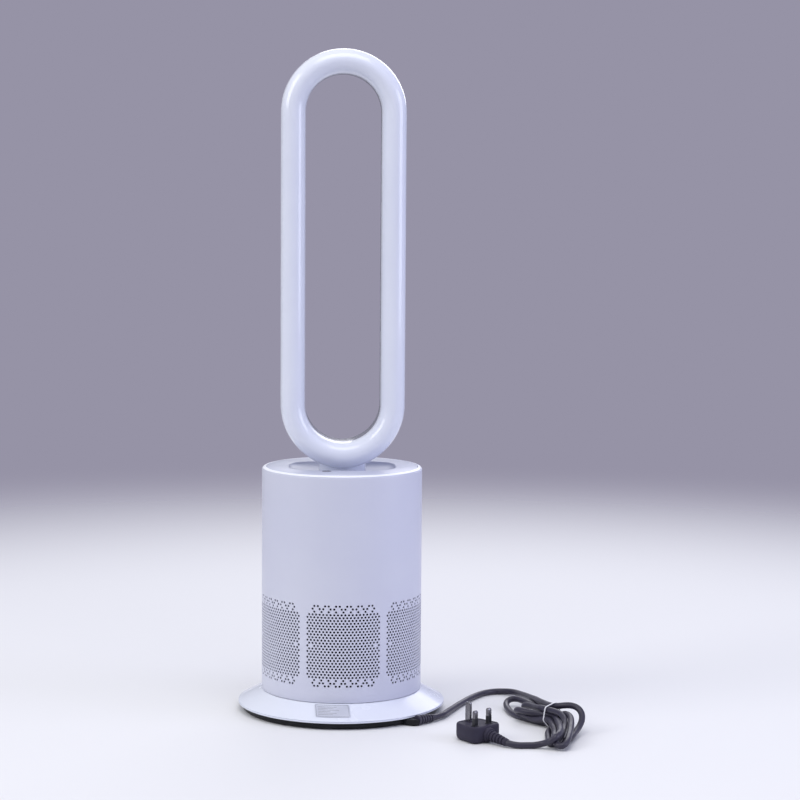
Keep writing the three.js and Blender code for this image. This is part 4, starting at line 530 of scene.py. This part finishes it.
for i in range(5):
    a = 2 * math.pi * i / 5
    prof = corner([(0, 0.3), (4.5, 0.3), (5.2, 0.0), (8.7, 0.0), (9.5, 0.8), (9.5, 3.3), (0, 3.3)], [0, 0.3, 0.3, 0.4, 0.4, 0.3, 0], n=4)
    V, F = revolve(prof, 64, closed=False)
    V = [(x + 98 * math.cos(a), y + 98 * math.sin(a), z) for x, y, z in V]
    make(f"pad_{i + 1}", V, F, RUBBER, "base", nodes=(f"foot_{i + 1}",), slot="rubber", sharp=30)

# bare rating plate on the cone, with a thin border and ruled lines
SLOPE = math.atan2(25.7 - 11.45, 126.1 - 98.9)
def on_cone(r, up_):
    return r + up_ * math.sin(SLOPE), 25.7 - (r - 98.9) * math.tan(SLOPE) + up_ * math.cos(SLOPE)
def cone_patch(u0, u1, r0, r1, lift, thick, rc):
    # u in mm round the cone at its middle, rounded corners of radius rc
    mid, rm = -math.pi / 2 - math.radians(6.6), 110.3
    hu, hr, cu, cr_ = (u1 - u0) / 2, (r1 - r0) / 2, (u0 + u1) / 2, (r0 + r1) / 2
    def at(u, r, up_):
        rr, z = on_cone(r, up_); a_ = mid + (u + 0.19 * (r - rm)) / r
        return (rr * math.cos(a_), rr * math.sin(a_), z)
    n = max(3, int(2 * hu / 1.2)) + 1
    us = sorted(set([round(hu * math.sin(math.pi / 2 * v), 5) for v in np.linspace(-1, 1, 7)] + [round(v, 5) for v in np.linspace(-hu + rc, hu - rc, n)] + [round(s_ * (hu - rc * (1 - math.cos(t))), 5) for s_ in (-1, 1) for t in np.linspace(0, math.pi / 2, 7)]))
    V, F, idx = [], [], []
    for up_, e in ((0.0, 0.0), (thick - 0.08, 0.0), (thick, 0.1)):
        lo = len(V)
        rows = []
        for u in us:
            uu = u * (1 - e / hu); x = max(0.0, abs(u) - (hu - rc)); dr = hr - e - rc + math.sqrt(max(0.0, rc * rc - x * x))
            rows.append((uu, dr))
        V += [at(cu + uu, cr_ - dr, lift + up_) for uu, dr in rows]; hi_ = len(V); V += [at(cu + uu, cr_ + dr, lift + up_) for uu, dr in rows]
        idx.append((lo, hi_))
    m = len(us)
    for i in range(m - 1):
        for l in range(2):
            (a0, b0), (a1, b1) = idx[l], idx[l + 1]
            F.append((a0 + i, a0 + i + 1, a1 + i + 1, a1 + i)); F.append((b0 + i + 1, b0 + i, b1 + i, b1 + i + 1))
        a0, b0 = idx[0]; F.append((a0 + i + 1, a0 + i, b0 + i, b0 + i + 1))
        a2, b2 = idx[2]; F.append((a2 + i, a2 + i + 1, b2 + i + 1, b2 + i))
    for i in (0, m - 1):
        for l in range(2):
            (a0, b0), (a1, b1) = idx[l], idx[l + 1]
            F.append((a0 + i, b0 + i, b1 + i, a1 + i))
    return V, F
V, F = cone_patch(-21, 21, 100.2, 120.4, 0.15, 0.55, 2.2)
plate = make("rating_plate_bare", V, F, LABEL, "base", nodes=("rating_plate",), slot="label_silver", sharp=30, weld=0.01)
parts = []
for u0, u1, r0, r1 in ((-19.6, 19.6, 101.2, 101.45), (-19.6, 19.6, 119.15, 119.4), (-19.6, -19.35, 101.4, 119.2), (19.35, 19.6, 101.4, 119.2),
                       (-17.5, 6.0, 104.2, 104.5), (-17.5, 2.0, 106.6, 106.9), (-17.5, 8.5, 109.0, 109.3), (-17.5, -2.0, 111.4, 111.7), (-17.5, 5.0, 113.8, 114.1), (-17.5, 0.5, 116.2, 116.5)):
    parts.append(cone_patch(u0, u1, r0, r1, 0.66, 0.13, 0.1))
make("rating_plate_rules", *joined(parts), RULE, "base", slot="label_silver", sharp=30, weld=0.002)

# ------------------------------------------------------------------ drum wall with its holes
HS = math.radians(1.297)
ROW, MIDZ, NROW = 3.457, 95.3, 29
def holes_in(row):      # row 1 to 29, as half steps from the middle of a patch
    if row in (1, 29): k = (2, 4, 8, 10, 14, 16)
    elif row in (2, 28): k = (1, 5, 7, 11, 13, 17)
    elif row in (3, 27): k = (0, 4, 8, 12, 16)
    elif row % 2 == 0: k = range(1, 20, 2)
    else: k = [j for j in range(0, 21, 2) if not (row == 15 and j == 18)]
    return sorted(set([j for j in k] + [-j for j in k]))
cols = []               # angles of the columns; a patch has 43 of them, 42 steps apart
col_of = {}
MIDS = [math.radians(v) for v in (-89.7, -30.9, 29.7, 90.3, 150.9, 211.5, 270.3)]
for pidx in range(6):
    mid = MIDS[pidx]
    for k in range(-21, 22):
        col_of[(pidx, k)] = len(cols); cols.append(mid + k * HS)
    rest = MIDS[pidx + 1] - mid - 42 * HS
    cols += [mid + 21 * HS + rest / 3, mid + 21 * HS + 2 * rest / 3]
NC = len(cols)
ROUT, RIN, HOLE = 98.0, 96.4, 1.42
lines = [MIDZ - (15 - 1) * ROW - ROW / 2 + j * ROW / 2 for j in range(2 * NROW + 1)]      # half-row lines, lowest first
V, F = [], []
def ringv(r, z):
    k = len(V)
    for a_ in cols:
        V.append((r * math.cos(a_), r * math.sin(a_), z))
    return k
def band(k0, k1):
    for c in range(NC):
        d = (c + 1) % NC
        F.append((k0 + c, k0 + d, k1 + d, k1 + c))
low_out = [(ROUT - 0.5, 26.5), (ROUT - 0.12, 26.62), (ROUT, 27.0), (ROUT, 36.0)]
shoulder = [(ROUT, 160), (ROUT, 185), (ROUT, 215), (ROUT, 245), (ROUT, 275), (ROUT, 293), (ROUT, 296.6), (97.93, 297.3), (97.7, 297.75), (97.35, 297.9), (96.9, 298.0), (96.85, 298.25), (97.15, 298.42),
            (97.05, 298.72), (96.6, 299.15), (95.9, 299.6), (95.0, 300.0), (94.1, 300.27), (93.35, 300.38), (93.05, 300.28), (93.0, 299.9), (93.0, 297.6), (95.6, 295.6), (95.9, 293.0), (95.9, 280), (RIN, 278.6), (RIN, 160)]
ks = [ringv(r, z) for r, z in low_out]
for m, n_ in zip(ks, ks[1:]): band(m, n_)
kout = [ringv(ROUT, z) for z in lines]
band(ks[-1], kout[0])
kup = [ringv(r, z) for r, z in shoulder]
band(kout[-1], kup[0])
for m, n_ in zip(kup, kup[1:]): band(m, n_)
kin = [ringv(RIN, z) for z in lines]
band(kup[-1], kin[-1])
klow = ringv(RIN, 27.0); kl2 = ringv(RIN + 0.4, 26.5)
band(kin[0], klow); band(klow, kl2); band(kl2, ks[0])
used, shade = set(), []
for pidx in range(6):
    for row in range(1, NROW + 1):
        zc = MIDZ + (15 - row) * ROW
        l0 = 2 * (NROW - row)          # its lower line
        for k in holes_in(row):
            c = col_of[(pidx, k)]
            for cc in (c - 1, c):
                for ll in (l0, l0 + 1):
                    used.add((cc, ll))
            am = cols[c]
            rim = [(c + 1, l0 + 1), (c + 1, l0 + 2), (c, l0 + 2), (c - 1, l0 + 2), (c - 1, l0 + 1), (c - 1, l0), (c, l0), (c + 1, l0)]
            ho, hi = len(V), len(V) + 8
            for r_, rad in ((ROUT, HOLE), (RIN, HOLE)):
                for j in range(8):
                    t = math.pi / 4 * j
                    a_ = am + rad * math.cos(t) / ROUT
                    V.append((r_ * math.cos(a_), r_ * math.sin(a_), zc + rad * math.sin(t)))
            for j in range(8):
                j2 = (j + 1) % 8
                o0, o1 = kout[rim[j][1]] + rim[j][0], kout[rim[j2][1]] + rim[j2][0]
                i0, i1 = kin[rim[j][1]] + rim[j][0], kin[rim[j2][1]] + rim[j2][0]
                F.append((o0, o1, ho + j2, ho + j)); shade.append(len(F)); F.append((ho + j, ho + j2, hi + j2, hi + j)); F.append((i1, i0, hi + j, hi + j2))
for c in range(NC):
    d = (c + 1) % NC
    for l in range(2 * NROW):
        if (c, l) not in used:
            F.append((kout[l] + c, kout[l] + d, kout[l + 1] + d, kout[l + 1] + c)); F.append((kin[l] + d, kin[l] + c, kin[l + 1] + c, kin[l + 1] + d))
drum = make("drum_wall", V, F, WHITE_DRUM, "drum", nodes=("drum_shell",), slot="satin_white", sharp=32)
# painted shade: the bore walls get a darker copy of the drum white, standing in for the shade inside the holes
drum.data.materials.append(BORE_SHADED)
for i in shade:
    drum.data.polygons[i].material_index = 1
# painted shade: a near-black sheet just inside the drum wall that makes the holes look dark
shade_sheet_profile = corner([(95.3, 31), (96.1, 31), (96.1, 262), (95.3, 262)], 0.2, n=2)
make("drum_shade_sheet", *revolve(shade_sheet_profile, 128), SHADE_SHEET, "drum", slot="black_plastic", sharp=30)
# front panel: a thin dark pane with rounded ends
def drum_patch(half_w, z0, z1, r0, r1, rc, mid=math.pi / 2):
    cz, hz = (z0 + z1) / 2, (z1 - z0) / 2
    us = np.linspace(-half_w, half_w, 61)
    rows = []
    for (r_, e) in ((r0, 0.0), (r1 - 0.15, 0.0), (r1, 0.25)):
        lo, hi_ = [], []
        for u in us:
            uu = u * (1 - e / half_w)
            x = max(0.0, abs(uu) - (half_w - rc - e))
            dz = hz - e - rc + math.sqrt(max(0.0, rc * rc - x * x))
            a_ = mid + uu / 98.0
            lo.append((r_ * math.cos(a_), r_ * math.sin(a_), cz - dz)); hi_.append((r_ * math.cos(a_), r_ * math.sin(a_), cz + dz))
        rows.append((lo, hi_))
    V, F = [], []
    idx = []
    for lo, hi_ in rows:
        a0 = len(V); V.extend(lo); b0 = len(V); V.extend(hi_); idx.append((a0, b0))
    n = len(us)
    for i in range(n - 1):
        for lvl in range(2):
            (a0, b0), (a1, b1) = idx[lvl], idx[lvl + 1]
            F.append((a0 + i, a0 + i + 1, a1 + i + 1, a1 + i)); F.append((b0 + i + 1, b0 + i, b1 + i, b1 + i + 1))
        a0, b0 = idx[0]; F.append((a0 + i + 1, a0 + i, b0 + i, b0 + i + 1))
        a2, b2 = idx[2]; F.append((a2 + i, a2 + i + 1, b2 + i + 1, b2 + i))
    for i in (0, n - 1):
        for lvl in range(2):
            (a0, b0), (a1, b1) = idx[lvl], idx[lvl + 1]
            F.append((a0 + i, b0 + i, b1 + i, a1 + i))
    return V, F
make("front_pane", *drum_patch(27.0, 250.2, 275.8, 97.2, 98.18, 3.5), GLASS, "drum", nodes=("touch_panel",), slot="black_gloss", sharp=30, weld=0.01)

# ------------------------------------------------------------------ top cover, button, neck
NT = 256
def cover_profile(t):
    rw, rn, R = oval(65.0, 45.4, 3.4, t), oval(29.6, 25.0, 2.3, t), 92.5
    P = [(R, 298.2), (R, 300.0), (R - 0.15, 300.25), (R - 0.45, 300.36), (rw + 6, 300.4), (rw + 1.6, 300.4), (rw + 0.7, 300.33), (rw + 0.1, 300.12), (rw - 0.45, 299.7), (rw - 0.9, 299.1), (rw - 1.5, 298.45), (rw - 2.4, 297.85)]
    for u in (0.86, 0.78, 0.68, 0.58, 0.48, 0.38, 0.28, 0.18, 0.09, 0.0):
        P.append((rn + (rw - rn) * u, 293.4 + 1.3 * u + 3.6 * u ** 3.2))
    P += [(rn, 291.3), (rn + (rw - rn) * 0.45, 292.3), (rw - 1.0, 295.9), (rw + 1.4, 297.9)]
    return P
rings = []
for i in range(NT):
    t = 2 * math.pi * (i + 0.5) / NT
    rings.append([(r * math.cos(t), r * math.sin(t), z) for r, z in cover_profile(t)])
for part, sgn, node in (("rear", -1, "top_cover_rear"), ("front", 1, "top_cover_front")):
    V, F = loft(rings, loop=True)
    o = make("cover_" + part, V, F, WHITE_COVER_SHADED, None, sharp=32)
    bm = bmesh.new(); bm.from_mesh(o.data)
    g = bmesh.ops.bisect_plane(bm, geom=bm.verts[:] + bm.edges[:] + bm.faces[:], plane_co=(0, sgn * 0.2 * MM, 0), plane_no=(0, -sgn, 0), clear_outer=True)
    bmesh.ops.holes_fill(bm, edges=[e for e in bm.edges if e.is_boundary], sides=0)
    bmesh.ops.recalc_face_normals(bm, faces=bm.faces)
    bm.to_mesh(o.data); bm.free()
    o.data.shade_smooth(); o.data.set_sharp_from_angle(angle=math.radians(32))
    if part == "rear":
        v, f = revolve([(0, 290), (6.1, 290), (6.1, 299.9), (6.5, 300.6), (6.5, 306), (0, 306)], 64, closed=False)
        cut_away(o, [(x - 19.6, y - 52.2, z) for x, y, z in v], f)
    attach(o, "drum"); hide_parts(node)
prof = corner([(0, 289.6), (1.6, 289.6), (1.6, 293.6), (3.5, 293.6), (3.5, 295.8), (5.2, 295.8), (5.2, 293.6), (7.2, 293.6), (7.2, 295.0), (5.6, 295.0), (5.6, 300.1), (4.9, 300.78), (3.5, 300.88), (2.6, 300.72), (0, 300.6)], [0, 0, 0.2, 0.1, 0.2, 0.2, 0.1, 0.3, 0.3, 0.2, 0.4, 0.4, 0.5, 1, 0], n=4)
V, F = revolve(prof, 72, closed=False)
make("on_button", [(x - 19.6, y - 52.2, z) for x, y, z in V], F, BUTTON, "button", nodes=("power_button",), slot="grey_plastic", sharp=32)

def neck_ring(a, b, z, n, N=160):
    return [(oval(a, b, n, 2 * math.pi * i / N) * math.cos(2 * math.pi * i / N), oval(a, b, n, 2 * math.pi * i / N) * math.sin(2 * math.pi * i / N), z) for i in range(N)]
rings = []
def mixed(t):      # outer half widths of the neck at a share of its height
    e = t * t * (3 - 2 * t)
    return 59.0 + (28.6 - 59.0) * e, 59.0 + (24.0 - 59.0) * e, 2 + 0.3 * e
for z in (263.0, 265.4): rings.append(neck_ring(59, 59, z, 2))
for i in range(1, 11):
    a_, b_, n_ = mixed(i / 10); rings.append(neck_ring(a_, b_, 265.4 + 19.6 * i / 10, n_))
for z in (292.0, 310.2, 310.6): rings.append(neck_ring(28.6, 24, z, 2.3))
rings.append(neck_ring(26.4, 21.8, 310.6, 2.3)); rings.append(neck_ring(26.4, 21.8, 285, 2.3))
for i in range(10, -1, -1):
    a_, b_, n_ = mixed(i / 10); rings.append(neck_ring(a_ - 2.4, b_ - 2.4, 264.2 + 19.6 * i / 10, n_))
rings.append(neck_ring(56.3, 56.3, 263.0, 2))
make("neck", *loft(rings, loop=True), WHITE_LOOP, "drum", nodes=("neck_duct",), slot="gloss_white", sharp=34, weld=0.002)

# ------------------------------------------------------------------ air loop
ZL, ZU = 378.0, 730.0
def stations():
    s_ = []
    for i in range(65):
        a_ = -math.pi + math.pi * i / 64; s_.append((ZL, math.cos(a_), math.sin(a_)))
    for i in range(1, 18):
        s_.append((ZL + (ZU - ZL) * i / 18, 1.0, 0.0))
    for i in range(65):
        a_ = math.pi * i / 64; s_.append((ZU, math.cos(a_), math.sin(a_)))
    for i in range(1, 18):
        s_.append((ZU - (ZU - ZL) * i / 18, -1.0, 0.0))
    return s_
def swept(section):
    # the outer side is a little deeper at the foot of the loop
    def out(n, cz, zc):
        foot = max(0.0, -cz) ** 5 if zc == ZL else 0.0
        return n + 2.3 * foot * min(1.0, max(0.0, (n - 54) / 16))
    return loft([[(out(n, cz, zc) * cx, y, zc + out(n, cz, zc) * cz) for n, y in section] for zc, cx, cz in stations()], loop=True)
def wall(points, t, n):
    L_ = spline(points, n=n)
    T_ = np.gradient(L_, axis=0); T_ /= np.linalg.norm(T_, axis=1, keepdims=True)
    B_ = L_ + t * np.stack([T_[:, 1], -T_[:, 0]], 1)
    # small rounded edges at both ends of the line
    e0 = L_[0] * 0.8 + B_[0] * 0.2; e1 = L_[-1] * 0.8 + B_[-1] * 0.2
    L_[0] += T_[0] * 0.28; L_[-1] -= T_[-1] * 0.28
    return [tuple(p) for p in L_] + [tuple(e1)] + [tuple(p) for p in B_[::-1]] + [tuple(e0)]
REAR = [(75.4, 4.0), (75.4, -4.5), (75.4, -15), (75.1, -25), (71.8, -34.2), (63.2, -40), (53.6, -38.2), (47.3, -30.5), (45.6, -20.6)]
FRONT = [(46.0, 17.4), (48.4, 26.5), (53.6, 35.8), (61.0, 40), (68.0, 37.0), (73.2, 27.5), (75.4, 14), (75.4, 9), (75.4, 4.4)]
def neck_cutter():
    r0 = neck_ring(29.0, 24.4, 285, 2.3, 96); r1 = neck_ring(29.0, 24.4, 316, 2.3, 96)
    V, F = loft([r0, r1]); k = len(V); V += [(0, 0, 285), (0, 0, 316)]
    F += [(k, (i + 1) % 96, i) for i in range(96)] + [(k + 1, 96 + i, 96 + (i + 1) % 96) for i in range(96)]
    return V, F
rear = make("loop_rear", *swept(wall(REAR, 2.3, 30)), WHITE_LOOP, None, sharp=38)
cut_away(rear, *neck_cutter())
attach(rear, "drum"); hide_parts("loop_rear_shell")
front = make("loop_front", *swept(wall(FRONT, 2.3, 30)), WHITE_LOOP, None, sharp=38)
cut_away(front, *neck_cutter())
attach(front, "drum"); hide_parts("loop_front_shell")
duct = corner([(45.9, -18.4), (45.9, 16.4), (48.1, 16.4), (48.1, -18.4)], 0.4, n=3)
make("loop_throat", *swept(duct), THROAT, "drum", nodes=("loop_inner_duct",), slot="throat_grey", sharp=38)

# ------------------------------------------------------------------ finish of the CAD pieces that stay
BY_NODE = {"base_screw": STEEL, "pivot_post": NYLON, "oscillation_gear": NYLON, "slip_ring": NYLON, "inner_lead": CORD, "drum_floor": GREY, "retaining_ring": STEEL, "display_board": BOARD,
           "button_spring": STEEL, "button_switch": BLACK, "control_board": BOARD, "frame_column": GREY, "filter_media": PAPER, "filter_lower": GREY, "filter_upper": GREY, "blower_housing": GREY,
           "housing_gasket": RUBBER, "impeller_nut": BRASS, "impeller": GREY, "motor_shaft": STEEL, "diffuser": GREY, "blower_motor": MOTOR, "motor_mount": RUBBER, "oscillation_motor": MOTOR,
           "pinion": BRASS, "neck_seal": RUBBER}
for name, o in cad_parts.items():
    m = next((mm_ for key, mm_ in BY_NODE.items() if name.startswith(key)), None)
    if m is None:
        m = GREY
    o.data.materials.clear()
    o.data.materials.append(m)

# ------------------------------------------------------------------ floor, surroundings and light
def floor_material():
    m = bpy.data.materials.new("floor")
    m.use_nodes = True
    nt = m.node_tree; nt.nodes.clear()
    N, L = nt.nodes.new, nt.links.new
    out = N("ShaderNodeOutputMaterial"); mix = N("ShaderNodeMixShader"); p = N("ShaderNodeBsdfPrincipled"); tr = N("ShaderNodeBsdfTransparent")
    p.inputs["Base Color"].default_value = (0.80, 0.80, 0.81, 1); p.inputs["Roughness"].default_value = 0.65; p.inputs["Specular IOR Level"].default_value = 0.15
    tc = N("ShaderNodeTexCoord"); ln = N("ShaderNodeVectorMath"); ln.operation = "LENGTH"
    L(tc.outputs["Object"], ln.inputs[0])
    mr = N("ShaderNodeMapRange"); mr.interpolation_type = "SMOOTHERSTEP"; mr.inputs["From Min"].default_value, mr.inputs["From Max"].default_value = 0.75, 2.5
    L(ln.outputs["Value"], mr.inputs["Value"]); L(mr.outputs["Result"], mix.inputs[0]); L(p.outputs[0], mix.inputs[1]); L(tr.outputs[0], mix.inputs[2]); L(mix.outputs[0], out.inputs[0])
    return m
me = bpy.data.meshes.new("floor")
rings_r = [0.0] + [0.06 * 1.22 ** i for i in range(20)]
V, F = revolve([(r / MM, 0.0) for r in rings_r if r < 2.6] + [(2600.0, 0.0)], 96, closed=False)
me.from_pydata([tuple(c * MM for c in v) for v in V], [], F)
floor = bpy.data.objects.new("floor", me); scene.collection.objects.link(floor); me.materials.append(floor_material())
floor.location = (0.05, 0.0, 0.0)
bpy.context.view_layer.update()

world = bpy.data.worlds.new("surroundings"); scene.world = world; world.use_nodes = True
nt = world.node_tree; nt.nodes.clear()
N, L = nt.nodes.new, nt.links.new
wo = N("ShaderNodeOutputWorld"); mix = N("ShaderNodeMixShader"); seen, light = N("ShaderNodeBackground"), N("ShaderNodeBackground"); lp = N("ShaderNodeLightPath")
seen.inputs["Color"].default_value = (0.305, 0.291, 0.381, 1); seen.inputs["Strength"].default_value = 1.0
light.inputs["Strength"].default_value = 0.74
geo = N("ShaderNodeTexCoord"); sep = N("ShaderNodeSeparateXYZ"); sky = N("ShaderNodeValToRGB")
L(geo.outputs["Generated"], sep.inputs[0])
up01 = N("ShaderNodeMapRange"); up01.inputs["From Min"].default_value, up01.inputs["From Max"].default_value = -1.0, 1.0
L(sep.outputs["Z"], up01.inputs["Value"]); L(up01.outputs["Result"], sky.inputs["Fac"])
r_ = sky.color_ramp
r_.elements[0].position, r_.elements[0].color = 0.30, (0.34, 0.34, 0.40, 1)
r_.elements[1].position, r_.elements[1].color = 0.95, (0.95, 0.96, 1.0, 1)
e_ = r_.elements.new(0.52); e_.color = (0.42, 0.42, 0.50, 1)
e_ = r_.elements.new(0.68); e_.color = (0.66, 0.67, 0.76, 1)
side = N("ShaderNodeMapRange"); side.inputs["From Min"].default_value, side.inputs["From Max"].default_value = -0.2, 0.9
tint = N("ShaderNodeMix"); tint.data_type = "RGBA"; tint.blend_type = "MULTIPLY"; tint.inputs[7].default_value = (0.86, 0.87, 1.12, 1)
L(sep.outputs["X"], side.inputs["Value"]); L(side.outputs["Result"], tint.inputs["Factor"]); L(sky.outputs["Color"], tint.inputs[6])
L(tint.outputs[2], light.inputs["Color"])
L(lp.outputs["Is Camera Ray"], mix.inputs[0]); L(light.outputs[0], mix.inputs[1]); L(seen.outputs[0], mix.inputs[2]); L(mix.outputs[0], wo.inputs[0])

def area(name, at, look, size, power, colour=(1, 1, 1)):
    d = bpy.data.lights.new(name, "AREA"); d.shape = "RECTANGLE"; d.size, d.size_y = size; d.energy = power; d.color = colour
    o = bpy.data.objects.new(name, d); scene.collection.objects.link(o)
    o.location = at
    o.rotation_euler = (Vector(look) - Vector(at)).to_track_quat("-Z", "Y").to_euler()
    return o
area("key", (-2.7, -1.0, 1.9), (0, 0, 0.35), (1.5, 1.9), 34, (1.0, 0.995, 0.98))
area("fill", (2.8, -0.9, 1.05), (0, 0, 0.35), (1.5, 1.6), 25, (0.80, 0.82, 1.0))
area("top", (0.0, -0.9, 2.5), (0, 0, 0.2), (1.8, 1.2), 19, (1, 1, 1))
area("back", (0.6, 2.4, 1.5), (0, 0, 0.5), (1.8, 1.2), 14, (0.97, 0.97, 1.0))

scene.view_settings.view_transform = "Standard"
scene.view_settings.look = "None"
scene.view_settings.exposure = 0.0
scene.view_settings.gamma = 1.0

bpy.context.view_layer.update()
